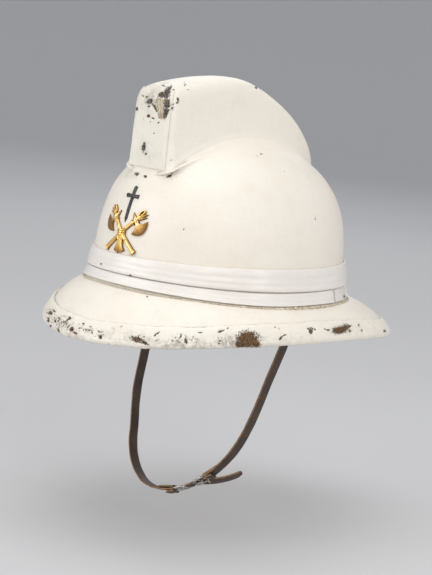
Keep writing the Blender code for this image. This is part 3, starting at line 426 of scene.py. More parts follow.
def add(tree, kind, settings=None, **sockets):
    """Adds a shader node and sets or joins its sockets: spaces in their names are written as _, and a
    socket's number as n0, n1, ..."""
    made = tree.nodes.new("ShaderNode" + kind)
    for name, value in (settings or {}).items():
        setattr(made, name, value)
    for name, value in sockets.items():
        numbered = name[0] == "n" and name[1:].isdigit()
        socket = made.inputs[int(name[1:])] if numbered else made.inputs[name.replace("_", " ")]
        if isinstance(value, bpy.types.NodeSocket):
            tree.links.new(value, socket)
        else:
            socket.default_value = value
    return made


def join(tree, output, shader, socket):
    tree.links.new(output, shader.inputs[socket])


def oil_paint(name, body, tint, worn, gloss, strokes, stroke_colour, stroke_depth, cloth_depth):
    """Old oil paint over cloth. body, tint and worn are its main, patchy and rubbed colours; strokes are
    the brush marks' scales round and along the helmet."""
    made, tree, shader = finish_named(name)
    place = add(tree, "TexCoord").outputs["Object"]
    lay = add(tree, "Attribute", {"attribute_name": "lay"}).outputs["Vector"]
    chip = add(tree, "Attribute", {"attribute_name": "chip"}).outputs["Fac"]
    brown = add(tree, "Attribute", {"attribute_name": "brown"}).outputs["Fac"]
    scuff = add(tree, "Attribute", {"attribute_name": "scuff"}).outputs["Fac"]
    grime_and_shade = add(tree, "Attribute", {"attribute_name": "grime_and_shade"}).outputs["Fac"]

    def noise(scale, detail=3.0, roughness=0.5, vector=place):
        return add(tree, "TexNoise", Vector=vector, Scale=scale, Detail=detail,
                   Roughness=roughness).outputs["Fac"]

    def calc(operation, a, b=0.0, clamp=False):
        return add(tree, "Math", {"operation": operation, "use_clamp": clamp}, n0=a, n1=b).outputs[0]

    def between(value, low, high):
        return add(tree, "MapRange", {"interpolation_type": "SMOOTHSTEP"}, Value=value, From_Min=low,
                   From_Max=high).outputs["Result"]

    def mix(share, first, second):
        return add(tree, "MixRGB", Fac=share, Color1=first, Color2=second).outputs["Color"]

    # chips: the smooth field plus fine noise gives a ragged edge, and scuffed places break out in specks
    ragged = calc("MULTIPLY", calc("SUBTRACT", noise(700, 6.0, 0.78), 0.5), 1.7)
    field = calc("ADD", chip, ragged)
    speck = noise(480, 5.0, 0.66)
    limit = calc("SUBTRACT", 0.80, calc("MULTIPLY", scuff, 0.262))
    specks = between(calc("SUBTRACT", speck, limit), 0.0, 0.012)
    tiny_limit = calc("SUBTRACT", 0.800, calc("MULTIPLY", scuff, 0.205))
    tiny = between(calc("SUBTRACT", noise(1500, 2.0, 0.5), tiny_limit), 0.0, 0.02)
    bare = calc("MAXIMUM", between(field, 0.49, 0.53), calc("MAXIMUM", specks, calc("MULTIPLY", tiny, 0.8)))
    rim_of_chip = calc("MAXIMUM", between(field, 0.42, 0.50),
                       between(calc("SUBTRACT", speck, limit), -0.03, 0.0))

    # paint colour: patchy yellowing, faint brush streaks, fine dirt specks
    streaked = add(tree, "VectorMath", {"operation": "MULTIPLY"}, n0=lay,
                   n1=(strokes[0], strokes[0], strokes[1]))
    streaks = noise(1.0, 3.0, 0.55, streaked.outputs["Vector"])
    colour = mix(between(noise(9, 4.0, 0.6), 0.42, 0.72), body, tint)
    colour = mix(calc("MULTIPLY", between(streaks, 0.45, 0.75), stroke_colour), colour, worn)
    colour = mix(calc("MULTIPLY", between(noise(60, 7.0, 0.75), 0.45, 0.75), 0.45), colour, worn)
    colour = mix(calc("MULTIPLY", between(noise(330, 3.0, 0.6), 0.50, 0.72), 0.25), colour, worn)
    dirt = calc("MULTIPLY", between(noise(900, 2.0, 0.5), 0.715, 0.76), 0.42)
    colour = mix(dirt, colour, (0.32, 0.24, 0.15, 1))
    # This darkening is dirt where the grime table and the chips put it, and painted shade along the binding's
    # upper crack and under the rim.
    smudge_and_shade = calc("MULTIPLY", grime_and_shade, between(noise(150, 6.0, 0.75), 0.36, 0.66))
    colour = mix(calc("MULTIPLY", smudge_and_shade, 0.85, True), colour, (0.20, 0.17, 0.13, 1))
    colour = mix(calc("MULTIPLY", rim_of_chip, 0.42), colour, (0.42, 0.34, 0.24, 1))

    # bare places: brown cork fibres or grey-black cloth
    fibre_lay = add(tree, "VectorMath", {"operation": "MULTIPLY"}, n0=place, n1=(1.0, 1.0, 0.25))
    fibres = noise(1300, 5.0, 0.75, fibre_lay.outputs["Vector"])
    cork = mix(between(fibres, 0.38, 0.68), (0.045, 0.022, 0.010, 1), (0.26, 0.145, 0.065, 1))
    cloth = mix(between(fibres, 0.40, 0.66), (0.026, 0.022, 0.019, 1), (0.27, 0.235, 0.19, 1))
    straw = mix(between(fibres, 0.36, 0.56), (0.16, 0.115, 0.06, 1), (0.72, 0.64, 0.46, 1))
    ground = mix(calc("MINIMUM", brown, 1.0), cloth, cork)
    ground = mix(calc("SUBTRACT", brown, 1.0, True), ground, straw)
    colour = mix(bare, colour, ground)
    join(tree, colour, shader, "Base Color")

    gloss_patch = calc("MULTIPLY_ADD", noise(30, 4.0, 0.6), 0.22)
    gloss_patch.node.inputs[2].default_value = gloss - 0.11
    rough = calc("ADD", gloss_patch, calc("MULTIPLY", streaks, 0.08))
    rough = calc("ADD", rough, calc("ADD", calc("MULTIPLY", bare, 0.5), calc("MULTIPLY", smudge_and_shade, 0.3)), True)
    join(tree, rough, shader, "Roughness")
    shader.inputs["Specular IOR Level"].default_value = 0.45

    # relief: cloth and orange peel under the paint, brush marks on it, a step down into each chip
    peel = add(tree, "Bump", Strength=0.5, Distance=cloth_depth, Height=noise(260, 4.0, 0.6))
    marks = add(tree, "Bump", Strength=0.6, Distance=stroke_depth, Height=streaks,
                Normal=peel.outputs["Normal"])
    step = add(tree, "Bump", {"invert": True}, Strength=0.7, Distance=0.0007, Height=bare,
               Normal=marks.outputs["Normal"])
    rough_cork = add(tree, "Bump", Strength=calc("MULTIPLY", bare, 0.9), Distance=0.0006, Height=fibres,
                     Normal=step.outputs["Normal"])
    join(tree, rough_cork.outputs["Normal"], shader, "Normal")
    return made


shell_paint = oil_paint("cream_oil_paint", (0.885, 0.835, 0.745, 1), (0.865, 0.798, 0.690, 1),
                        (0.800, 0.730, 0.620, 1), 0.36, (330, 14), 0.10, 0.00014, 0.00018)

SHELL_COLUMNS = 4 * SHELL_QUARTER
# Rings of the shell: from section, to section, and how many
SHELL_RINGS = ((0, CROWN_FOOT_ROW, 45), (CROWN_FOOT_ROW, BAND_TOP_ROW, 9), (BAND_TOP_ROW, COMB_FOOT_ROW, 68),
               (COMB_FOOT_ROW, CREST_ROW, 76))
SHELL_LUMPS = ((0.085, 0.00028), (0.030, 0.00014), (0.012, 0.00005))
SHELL_CHIP_DEPTH, INSIDE_SCUFF, INSIDE_GRIME = 0.00045, 0.25, 0.30
outer_rows = np.concatenate([[0.0]] + [np.linspace(*span)[1:] for span in SHELL_RINGS])
shell_points, shell_out = surface(outer_rows, SHELL_QUARTER)
shell_lay = brush_lay(shell_points)
shell_wear = wear_fields(shell_points, shell_out)
sway = hand_made(shell_points, SHELL_LUMPS, 1)
chips_in = chip_depth(shell_points, shell_wear).reshape(sway.shape) * SHELL_CHIP_DEPTH
outer_shell = shell_points + shell_out * (sway - chips_in)[..., None]
inner_pick = np.concatenate([np.arange(0, len(outer_rows) - 1, 4), [len(outer_rows) - 1]])
inner_shell = shell_points[inner_pick] - shell_out[inner_pick] * SHELL_WALL
count_out, count_in = len(outer_rows), len(inner_pick)


def crest_cap(first, flip):
    """Closes the last ring across the crest."""
    half = SHELL_COLUMNS // 2
    faces = [(first, first + 1, first + SHELL_COLUMNS - 1)]
    faces += [(first + c, first + c + 1, first + SHELL_COLUMNS - c - 1, first + SHELL_COLUMNS - c)
              for c in range(1, half - 1)]
    faces.append((first + half - 1, first + half, first + half + 1))
    return [face[::-1] for face in faces] if flip else faces


inner_first = count_out * SHELL_COLUMNS
shell_faces = grid_faces(count_out, SHELL_COLUMNS) + crest_cap((count_out - 1) * SHELL_COLUMNS, False)
shell_faces += grid_faces(count_in, SHELL_COLUMNS, first=inner_first, flip=True)
shell_faces += crest_cap(inner_first + (count_in - 1) * SHELL_COLUMNS, True)
shell_faces += [(c, inner_first + c, inner_first + (c + 1) % SHELL_COLUMNS, (c + 1) % SHELL_COLUMNS)
                for c in range(SHELL_COLUMNS)]
inner_lay = shell_lay.reshape(count_out, SHELL_COLUMNS, 3)[inner_pick].reshape(-1, 3)
all_wear = {key: np.concatenate([values, np.zeros(count_in * SHELL_COLUMNS)])
            for key, values in shell_wear.items()}
all_wear["scuff"][inner_first:] = INSIDE_SCUFF
all_wear["grime_and_shade"][inner_first:] = INSIDE_GRIME
both_sides = np.concatenate([outer_shell.reshape(-1, 3), inner_shell.reshape(-1, 3)])
shell = painted_object("shell_painted", both_sides, shell_faces, all_wear,
                       np.concatenate([shell_lay, inner_lay]), shell_paint)
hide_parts("shell")


# Binding round the brim

# A strip of cloth is folded over the rim, glued down above and below, and painted with the rest. Its upper
# edge shows as a crack in the paint, and most of the helmet's chips are on it.
BINDING_CLOTH, BINDING_OVER, BINDING_UNDER = 0.0015, 0.015, 0.012
BINDING_GAP = 0.0003
BINDING_QUARTER = 256
RIM_RADIUS, EDGE_WANDER = 0.16, ((0.05, 0.0007), (0.012, 0.0003))
BINDING_LUMPS = ((0.030, 0.00030), (0.010, 0.00016), (0.004, 0.00008))
BINDING_CHIP_DEPTH = 0.0008

brim_rows = np.linspace(0, CROWN_FOOT_ROW, 61)
brim_points, brim_out = surface(brim_rows, BINDING_QUARTER)
brim_reach = np.concatenate([np.zeros((1, brim_points.shape[1])),
                             np.cumsum(np.linalg.norm(np.diff(brim_points, axis=0), axis=2), axis=0)])
binding_columns = brim_points.shape[1]


def up_brim(distance, lift):
    """Points and normals a distance (one per column) up from the rim, lifted off the brim's upper face."""
    distance = np.broadcast_to(distance, (binding_columns,))
    place, out = np.zeros((binding_columns, 3)), np.zeros((binding_columns, 3))
    for column in range(binding_columns):
        at = max(distance[column], 0.0)
        for axis in range(3):
            place[column, axis] = np.interp(at, brim_reach[:, column], brim_points[:, column, axis])
            out[column, axis] = np.interp(at, brim_reach[:, column], brim_out[:, column, axis])
    inward = brim_points[1] - brim_points[0]
    inward /= np.linalg.norm(inward, axis=1, keepdims=True)
    place += inward * np.minimum(distance, 0.0)[:, None]
    out /= np.linalg.norm(out, axis=1, keepdims=True)
    return place + out * lift, out, inward


binding_turn = np.linspace(0, 2 * math.pi, binding_columns, endpoint=False)
round_rim = np.stack([np.cos(binding_turn), np.sin(binding_turn), np.zeros(binding_columns)], axis=1)
edge_wander = hand_made(round_rim * RIM_RADIUS, EDGE_WANDER, 21)
middle, inner_half = -SHELL_WALL / 2, SHELL_WALL / 2 + BINDING_GAP
outer_half = inner_half + BINDING_CLOTH
binding_rails, binding_normals = [], []
for share in (1.0, 0.985, 0.95, 0.90, 0.83, 0.75, 0.66, 0.57, 0.48, 0.39, 0.30, 0.22, 0.14, 0.07, 0.0):
    feather = 0.55 + 0.45 * min(1.0, (1 - share) / 0.16)
    points, out, inward = up_brim(BINDING_OVER * share + edge_wander * share,
                                  middle + inner_half + BINDING_CLOTH * feather)
    binding_rails.append(points)
    binding_normals.append(out)
for angle in np.radians((18, 36, 54, 72, 90, 108, 126, 144, 162)):
    points, out, inward = up_brim(-outer_half * math.sin(angle), middle + outer_half * math.cos(angle))
    binding_rails.append(points)
    binding_normals.append(out * math.cos(angle) - inward * math.sin(angle))
for share in (0.0, 0.08, 0.18, 0.32, 0.48, 0.66, 0.84, 1.0):
    points, out, inward = up_brim(BINDING_UNDER * share, middle - outer_half)
    binding_rails.append(points)
    binding_normals.append(-out)
shown_rails = len(binding_rails)
for distance, lift in ((BINDING_UNDER, -inner_half), (0.0, -inner_half), (-inner_half, 0.0),
                       (0.0, inner_half), (BINDING_OVER * 0.5, inner_half), (BINDING_OVER, inner_half)):
    points, out, inward = up_brim(distance, middle + lift)
    binding_rails.append(points)
    binding_normals.append(out * (1 if lift > 0 else -1))
binding_points, binding_out = np.array(binding_rails), np.array(binding_normals)
binding_wear_and_shade = wear_fields(binding_points, binding_out)
lumps = hand_made(binding_points, BINDING_LUMPS, 23)
sunk = chip_depth(binding_points, binding_wear_and_shade).reshape(lumps.shape) * BINDING_CHIP_DEPTH
cork_bits = unevenness(binding_points, 0.0016, 26) * 0.0003 * (sunk > 0.0003)
shift = lumps - sunk + cork_bits
shift[shown_rails:] = 0.0
binding_points = binding_points + binding_out * shift[..., None]
rail_number = np.repeat(np.arange(len(binding_rails)), binding_columns)
# dirt and painted shade darken the crack along the upper edge, and painted shade darkens the underside of the
# rim
binding_wear_and_shade["grime_and_shade"] = np.maximum(binding_wear_and_shade["grime_and_shade"], np.where(rail_number <= 1, 0.55, 0.0))
binding_wear_and_shade["grime_and_shade"] = np.maximum(binding_wear_and_shade["grime_and_shade"], np.clip((rail_number - 20) / 10, 0, 1) * 0.35)
binding_wear_and_shade["scuff"] = np.maximum(binding_wear_and_shade["scuff"], np.clip(unevenness(
    binding_points.reshape(-1, 3), 0.05, 27) * 0.5 + 0.15, 0, 0.6))
binding_faces = grid_faces(len(binding_rails), binding_columns, flip=True)
last_rail = (len(binding_rails) - 1) * binding_columns
binding_faces += [(c, (c + 1) % binding_columns, last_rail + (c + 1) % binding_columns, last_rail + c)[::-1]
                  for c in range(binding_columns)]
binding_paint = oil_paint("binding_paint", (0.885, 0.838, 0.745, 1), (0.860, 0.795, 0.685, 1),
                          (0.790, 0.725, 0.620, 1), 0.38, (300, 60), 0.20, 0.00018, 0.00022)
binding = painted_object("binding_painted", binding_points.reshape(-1, 3), binding_faces, binding_wear_and_shade,
                         brush_lay(binding_points), binding_paint)
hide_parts("edge_binding")


# Cloth on the comb's flat front

# A strip of cloth covers the comb's flat front and laps a little round its corners. Its edges have come up
# through the paint as cracks, and its upper end is worn through to the grey weave.
FACING_CLOTH, FACING_GAP = 0.0008, 0.0003
FACING_LAP_SHARE = 0.34
FACING_LUMPS = ((0.020, 0.00018), (0.006, 0.00007))

facing_rows = np.linspace(COMB_FOOT_ROW + 0.60, COMB_FOOT_ROW + 6.2, 96)
facing_grid, facing_out = surface(facing_rows, SHELL_QUARTER)
reach_columns = SHELL_QUARTER * (FLAT_SHARE + CORNER_SHARE * FACING_LAP_SHARE)
facing_places = np.linspace(-reach_columns, reach_columns, 57)
columns_round = np.arange(-SHELL_QUARTER, SHELL_QUARTER + 1)


def across_front(grid):
    wrapped = grid[:, columns_round % SHELL_COLUMNS]
    return np.stack([[np.interp(facing_places, columns_round, row[:, axis]) for axis in range(3)]
                     for row in wrapped]).transpose(0, 2, 1)


facing_base, facing_normal = across_front(facing_grid), across_front(facing_out)
facing_normal /= np.linalg.norm(facing_normal, axis=2, keepdims=True)
facing_wear = wear_fields(facing_base, facing_normal)
from_side = 1 - np.abs(facing_places) / reach_columns
from_foot = np.linspace(0, 1, len(facing_rows))
from_end = np.minimum(from_foot, 1 - from_foot)[:, None]
edge_thin = np.clip(np.minimum(from_side[None, :] / 0.06, from_end / 0.03), 0, 1)
facing_lift = FACING_GAP + FACING_CLOTH * (0.30 + 0.70 * edge_thin)
facing_lift = facing_lift + hand_made(facing_base, FACING_LUMPS, 31)
facing_lift = facing_lift - chip_depth(facing_base, facing_wear).reshape(facing_lift.shape) * 0.0005
facing_points = facing_base + facing_normal * facing_lift[..., None]
facing_under = facing_base + facing_normal * (FACING_GAP * 0.3)
size_facing = facing_base.shape[0] * facing_base.shape[1]
edge_dirt = np.clip(1 - np.minimum(from_side[None, :] / 0.035, from_foot[:, None] / 0.02), 0, 1)
patchy = 0.35 + 0.35 * np.clip(unevenness(facing_base.reshape(-1, 3), 0.02, 33), -1, 1)
facing_wear["grime_and_shade"] = np.maximum(facing_wear["grime_and_shade"], edge_dirt.ravel() * patchy)
facing_wear["scuff"] = np.maximum(facing_wear["scuff"], 0.30)
facing_wear = {key: np.concatenate([values, values]) for key, values in facing_wear.items()}
rows, columns = facing_base.shape[:2]
facing_faces = grid_faces(rows, columns, closed=False) + grid_faces(rows, columns, False, size_facing, True)
border = [(0, c) for c in range(columns)] + [(r, columns - 1) for r in range(1, rows)]
border += [(rows - 1, c) for c in range(columns - 2, -1, -1)] + [(r, 0) for r in range(rows - 2, 0, -1)]
border = [r * columns + c for r, c in border]
facing_faces += [(b, a, a + size_facing, b + size_facing) for a, b in zip(border, border[1:] + border[:1])]
facing_lay = np.concatenate([facing_base.reshape(-1, 3)] * 2)
facing_paint = oil_paint("facing_paint", (0.850, 0.810, 0.715, 1), (0.820, 0.768, 0.665, 1),
                         (0.745, 0.700, 0.610, 1), 0.42, (160, 60), 0.25, 0.00012, 0.00022)
facing = painted_object("comb_facing_cloth", np.concatenate([facing_points.reshape(-1, 3),
                        facing_under.reshape(-1, 3)]), facing_faces, facing_wear, facing_lay, facing_paint)
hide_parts("comb_facing")


# Folded cloth band

# One long cloth is folded flat, wound twice round the crown's foot and painted a colder, glossier white. The
# lower fold stops in a raw, stitched edge at the wearer's left rear, with its start showing behind, and
# yellowed glue has squeezed out beneath it.
BAND_CLOTH, BAND_GAP, BAND_SCUFF = 0.0026, 0.0003, 0.05
LOWER_FOLD_SHARE = 0.41
BAND_JOIN_SHARE, BAND_LAP_SHARE = 18 / 56, 4 / 56
BAND_QUARTER = 112
BAND_COLUMNS = 4 * BAND_QUARTER


def band_rail(row, lift):
    points, out = surface([row], BAND_QUARTER)
    return points[0] + out[0] * lift, out[0]


def band_level(share):
    return CROWN_FOOT_ROW + share * (BAND_TOP_ROW - CROWN_FOOT_ROW)


# up is a share of the fold's height, lift a share of BAND_CLOTH. The folds sag into soft creases.
UPPER_FACE = ((0.00, 0.80), (0.015, 1.02), (0.06, 1.15), (0.14, 1.20), (0.22, 1.13), (0.29, 1.04),
              (0.35, 1.10), (0.44, 1.12), (0.53, 1.03), (0.60, 0.96), (0.66, 1.01), (0.75, 1.00),
              (0.84, 0.92), (0.92, 0.82), (0.97, 0.73), (0.99, 0.64), (1.00, 0.48))
LOWER_FACE = ((0.00, 1.02), (0.03, 1.22), (0.10, 1.36), (0.20, 1.38), (0.31, 1.30), (0.39, 1.18),
              (0.47, 1.21), (0.57, 1.16), (0.66, 1.02), (0.74, 0.98), (0.84, 0.97), (0.92, 0.88),
              (0.97, 0.76), (1.00, 0.58))
LAP_FACE = ((0.00, 0.66), (0.05, 0.82), (0.20, 0.90), (0.45, 0.80), (0.60, 0.74), (0.80, 0.66), (0.95, 0.56),
            (1.00, 0.44))


def make_fold(name, node, face, low, high, foot_out, keep, seed, raw_ends):
    """A fold of the band between two shares of its height. keep picks the columns of an open stretch."""
    rails, normals, dirt = [], [], []
    marks = [(low, BAND_GAP, 1.0)]
    marks += [(low + (high - low) * up, BAND_CLOTH * lift, up) for up, lift in face]
    marks += [(high, BAND_GAP, 1.0)]
    for share, lift, up in marks:
        points, out = band_rail(band_level(share), lift)
        if foot_out and up < 0.12:
            outward = out * (1, 1, 0)
            outward /= np.linalg.norm(outward, axis=1, keepdims=True)
            points = points + outward * foot_out * (1 - up / 0.12) ** 2
        rails.append(points)
        normals.append(out)
        dirt.append(0.6 * math.exp(-min(up, 1 - up) / 0.008))
    points, out = np.array(rails), np.array(normals)
    lay = brush_lay(points).reshape(points.shape)
    sway = (unevenness(lay * (1, 1, 3.0), 0.06, seed) * 0.00022
            + unevenness(lay * (1, 1, 6), 0.028, seed + 1) * 0.00012)
    sway[0] = sway[-1] = 0
    points = points + out * sway[..., None]
    points[..., 2] += unevenness(lay * (1, 1, 0), 0.11, seed + 2) * 0.00022
    dirt = np.repeat(np.array(dirt)[:, None], points.shape[1], axis=1)
    closed = keep is None
    if not closed:
        points, out, lay, dirt = points[:, keep], out[:, keep], lay[:, keep], dirt[:, keep]
    wear = wear_fields(points, out)
    wear["grime_and_shade"] = np.maximum(wear["grime_and_shade"] * 0.5, dirt.ravel() * 0.75)
    wear["scuff"] = np.full_like(wear["scuff"], BAND_SCUFF)
    rows, columns = points.shape[:2]
    if raw_ends:
        fray = np.clip(1 - np.arange(columns) / 3.0, 0, 1) if raw_ends == "first" else np.clip(
            1 - (columns - 1 - np.arange(columns)) / 3.0, 0, 1)
        wear["grime_and_shade"] = np.maximum(wear["grime_and_shade"], np.tile(fray, rows) * 0.8)
        wear["scuff"] = np.maximum(wear["scuff"], np.tile(fray, rows) * 0.9)
    faces = grid_faces(rows, columns, closed)
    last = (rows - 1) * columns
    faces += [(last + c, last + (c + 1) % columns, (c + 1) % columns, c)
              for c in range(columns if closed else columns - 1)]
    if not closed:
        faces.append(tuple(r * columns for r in range(rows)))
        faces.append(tuple(r * columns + columns - 1 for r in reversed(range(rows))))
    made = painted_object(name, points.reshape(-1, 3), faces, wear, lay.reshape(-1, 3), band_paint)
    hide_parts(node)
    return made


band_paint = oil_paint("band_paint", (0.870, 0.828, 0.785, 1), (0.850, 0.800, 0.745, 1),
                       (0.790, 0.735, 0.680, 1), 0.20, (24, 420), 0.30, 0.00010, 0.00007)
join_column = round(BAND_JOIN_SHARE * BAND_COLUMNS)
lap_column = join_column + round(BAND_LAP_SHARE * BAND_COLUMNS)
make_fold("band_upper_fold", "band_upper", UPPER_FACE, LOWER_FOLD_SHARE + 0.012, 1.0, 0.0, None, 41, "")
make_fold("band_lower_fold", "band_lower", LOWER_FACE, 0.03, LOWER_FOLD_SHARE - 0.004, 0.0012,
          np.arange(lap_column, BAND_COLUMNS + join_column + 1) % BAND_COLUMNS, 44, "last")
make_fold("band_lap_end", "band_lap", LAP_FACE, 0.03, LOWER_FOLD_SHARE - 0.004, 0.0008,
          np.arange(join_column + 1, lap_column), 47, "")


# Glue under the band, and its stitches

# Brown-yellow glue fills the angle between band and brim, thickest at the wearer's left rear. A few pale
# stitches hold down the lower fold's raw end.
GLUE_THIN, GLUE_THICK, GLUE_LEAST = 0.00028, 0.0011, 0.0002
STITCHES, STITCH_RADIUS = 7, 0.00022


def tube_along(path, radii, sides, closed=False):
    """Points and faces of a round tube along a path, with a radius at each point."""
    path = np.asarray(path, float)
    radii = np.broadcast_to(radii, (len(path),))
    along = np.roll(path, -1, axis=0) - np.roll(path, 1, axis=0) if closed else np.gradient(path, axis=0)
    along /= np.maximum(np.linalg.norm(along, axis=1, keepdims=True), 1e-12)
    side = np.cross(along, (0.0, 0.0, 1.0))
    thin = np.linalg.norm(side, axis=1) < 0.15
    side[thin] = np.cross(along[thin], (1.0, 0.0, 0.0))
    side /= np.linalg.norm(side, axis=1, keepdims=True)
    above = np.cross(side, along)
    points = np.concatenate([[centre + radius * (math.cos(a) * s + math.sin(a) * u)
                              for a in np.linspace(0, 2 * math.pi, sides, endpoint=False)]
                             for centre, radius, s, u in zip(path, radii, side, above)])
    faces = grid_faces(len(path), sides)
    if closed:
        last = (len(path) - 1) * sides
        faces += [(last + s, last + (s + 1) % sides, (s + 1) % sides, s) for s in range(sides)]
    else:
        faces += [tuple(reversed(range(sides))), tuple(range((len(path) - 1) * sides, len(path) * sides))]
    return points, faces


def plain_object(name, parts, material, attributes=None):
    """One mesh object from several lists of points and faces, which rides on the helmet."""
    points, faces, first = [], [], 0
    for part_points, part_faces in parts:
        points.extend(map(tuple, part_points))
        faces.extend(tuple(first + corner for corner in face) for face in part_faces)
        first += len(part_points)
    mesh = bpy.data.meshes.new(name)
    mesh.from_pydata([tuple(map(float, point)) for point in points], [], faces)
    for field, values in (attributes or {}).items():
        mesh.attributes.new(field, "FLOAT", "POINT").data.foreach_set("value", np.asarray(values, np.float32))
    work = bmesh.new()
    work.from_mesh(mesh)
    bmesh.ops.recalc_face_normals(work, faces=work.faces)
    work.to_mesh(mesh)
    work.free()
    mesh.shade_smooth()
    mesh.set_sharp_from_angle(angle=math.radians(40))
    mesh.materials.append(material)
    made = bpy.data.objects.new(name, mesh)
    bpy.context.scene.collection.objects.link(made)
    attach(made, "root")
    return made


def speckled_finish(name, grain, dark, light, metallic, rough, dents):
    """A material in two tones that follow one noise. grain is its scale, detail and roughness, dark and
    light are where each tone starts and its colour, rough is the range of noise and of gloss, and dents
    is the relief's strength and depth."""
    made, tree, shader = finish_named(name)
    place = add(tree, "TexCoord").outputs["Object"]
    spots = add(tree, "TexNoise", Vector=place, Scale=grain[0], Detail=grain[1], Roughness=grain[2])
    tone = add(tree, "ValToRGB", Fac=spots.outputs["Fac"])
    for stop, (start, colour) in zip(tone.color_ramp.elements, (dark, light)):
        stop.position, stop.color = start, (*colour, 1)
    join(tree, tone.outputs["Color"], shader, "Base Color")
    shader.inputs["Metallic"].default_value = metallic
    shader.inputs["Roughness"].default_value = rough[-1]
    if len(rough) > 1:
        gloss = add(tree, "MapRange", Value=spots.outputs["Fac"], From_Min=rough[0], From_Max=rough[1],
                    To_Min=rough[2], To_Max=rough[3])
        join(tree, gloss.outputs["Result"], shader, "Roughness")
    relief = add(tree, "Bump", Strength=dents[0], Distance=dents[1], Height=spots.outputs["Fac"])
    join(tree, relief.outputs["Normal"], shader, "Normal")
    return made


glue = speckled_finish("old_glue", (380.0, 5.0, 0.7), (0.38, (0.42, 0.31, 0.16)), (0.60, (0.82, 0.76, 0.63)),
                       0.0, (0.55,), (0.8, 0.0004))
foot_points, foot_out = surface([CROWN_FOOT_ROW - 0.02], BAND_QUARTER)
foot_side = foot_out[0] * (1, 1, 0)
foot_side /= np.linalg.norm(foot_side, axis=1, keepdims=True)
glue_line = foot_points[0] + foot_side * (BAND_CLOTH * 1.02 + 0.0011)
brim_under = surface([CROWN_FOOT_ROW - 0.62], BAND_QUARTER)[0][0]
glue_line[:, 2] = brim_under[:, 2] + 0.0006
share_round = np.arange(BAND_COLUMNS) / BAND_COLUMNS
thickness = GLUE_THIN + (GLUE_THICK - GLUE_THIN) * np.exp(-((share_round - 0.27) / 0.09) ** 2)
thickness = thickness * (1 + 0.45 * unevenness(glue_line, 0.006, 51))
glue_tube = tube_along(glue_line, np.maximum(thickness, GLUE_LEAST), 8, closed=True)
glue_bead = plain_object("band_glue", [glue_tube], glue)

thread, tree, shader = finish_named("stitch_thread")
twist = add(tree, "TexWave", Vector=add(tree, "TexCoord").outputs["Object"], Scale=900.0, Distortion=1.5)
tone = add(tree, "ValToRGB", Fac=twist.outputs["Fac"])
tone.color_ramp.elements[0].color = (0.36, 0.29, 0.19, 1)
tone.color_ramp.elements[1].color = (0.66, 0.58, 0.44, 1)
join(tree, tone.outputs["Color"], shader, "Base Color")
shader.inputs["Roughness"].default_value = 0.85

stitch_parts = []
dice = np.random.default_rng(52)
for number in range(STITCHES):
    share = 0.04 + (LOWER_FOLD_SHARE - 0.06) * (number + 0.5) / STITCHES
    level = [band_rail(band_level(share), BAND_CLOTH * lift)[0] for lift in (0.62, 1.15, 1.05)]
    start = level[0][(join_column + 2) % BAND_COLUMNS]
    top = level[1][join_column]
    end = level[2][join_column - 1]
    jitter = dice.normal(size=(3, 3)) * 0.0002
    path = np.array([start, top, end]) + jitter
    steps = np.linspace(0, 2, 9)
    fine = np.stack([smooth_table([0, 1, 2], path[:, axis], steps) for axis in range(3)], axis=1)
    stitch_parts.append(tube_along(fine, STITCH_RADIUS, 6))
stitches = plain_object("band_stitches", stitch_parts, thread)


# Gilt badge of crossed axes

# The badge is stamped brass, gilded: two crossed axes with leaves above their heads, tied at the crossing
# with a cord whose tassel hangs between the handles. Brown tarnish lies on the blades and in the hollows.
AXE_LENGTH, AXE_ANGLE, AXE_HANDLE, AXE_BLADE = 0.054, 46.0, 0.0036, 0.016
AXE_FOOT_SHARE, AXE_TOP_SHARE, AXE_HEAD_SHARE = 0.40, 0.38, 0.29
BADGE_THICKNESS, BADGE_UP, BADGE_GAP = 0.0024, 0.0174, 0.0003


def crown_front(x, up):
    """Point and outward normal on the crown's front at x, at a height above the band's top edge."""
    rows = np.arange(BAND_TOP_ROW, COMB_FOOT_ROW + 1)
    heights_front, reaches, heights_side, widths = (
        SECTIONS[rows, SECTION_KEYS.index(key)] for key in ("front_z", "front", "side_z", "width"))

    def place(at_x, at_z):
        reach, width = np.interp(at_z, heights_front, reaches), np.interp(at_z, heights_side, widths)
        return Vector((at_x, -reach * math.sqrt(max(0.0, 1 - (at_x / width) ** 2)), at_z))

    step, height = 0.002, up + BAND_HEIGHT
    here = place(x, height)
    across = place(x + step, height) - place(x - step, height)
    upward = place(x, height + step) - place(x, height - step)
    return here, across.cross(upward).normalized()


def on_crown(points, up, lift):
    """Bends flat badge points onto the crown's front: x across, y up, z out."""
    wrapped = []
    for x, y, z in points:
        here, out = crown_front(x, up + y)
        wrapped.append(here + out * (z + lift))
    return wrapped


def turn_flat(points, degrees, mirror):
    """Leans flat points over by an angle from upright, and mirrors them if mirror is -1."""
    cos, sin = math.cos(math.radians(degrees)), math.sin(math.radians(degrees))
    return [((x * cos + y * sin) * mirror, -x * sin + y * cos, z) for x, y, z in points]


def bar(path, half_widths, heights, base, sides=10):
    """A half-round bar on the badge's plane: path in x and y, half width and height at each point."""
    path = np.asarray(path, float)
    along = np.gradient(path, axis=0)
    along /= np.maximum(np.linalg.norm(along, axis=1, keepdims=True), 1e-9)
    side = np.stack([along[:, 1], -along[:, 0]], axis=1)
    points = []
    for centre, across, half, high in zip(path, side, half_widths, heights):
        for angle in np.linspace(0, math.pi, sides):
            flat = centre + across * half * math.cos(angle)
            points.append((flat[0], flat[1], base + high * math.sin(angle)))
    faces = grid_faces(len(path), sides, closed=False)
    faces += [(row * sides, (row + 1) * sides, (row + 1) * sides + sides - 1, row * sides + sides - 1)
              for row in range(len(path) - 1)]
    faces += [tuple(range(sides)), tuple(reversed(range((len(path) - 1) * sides, len(path) * sides)))]
    return points, faces


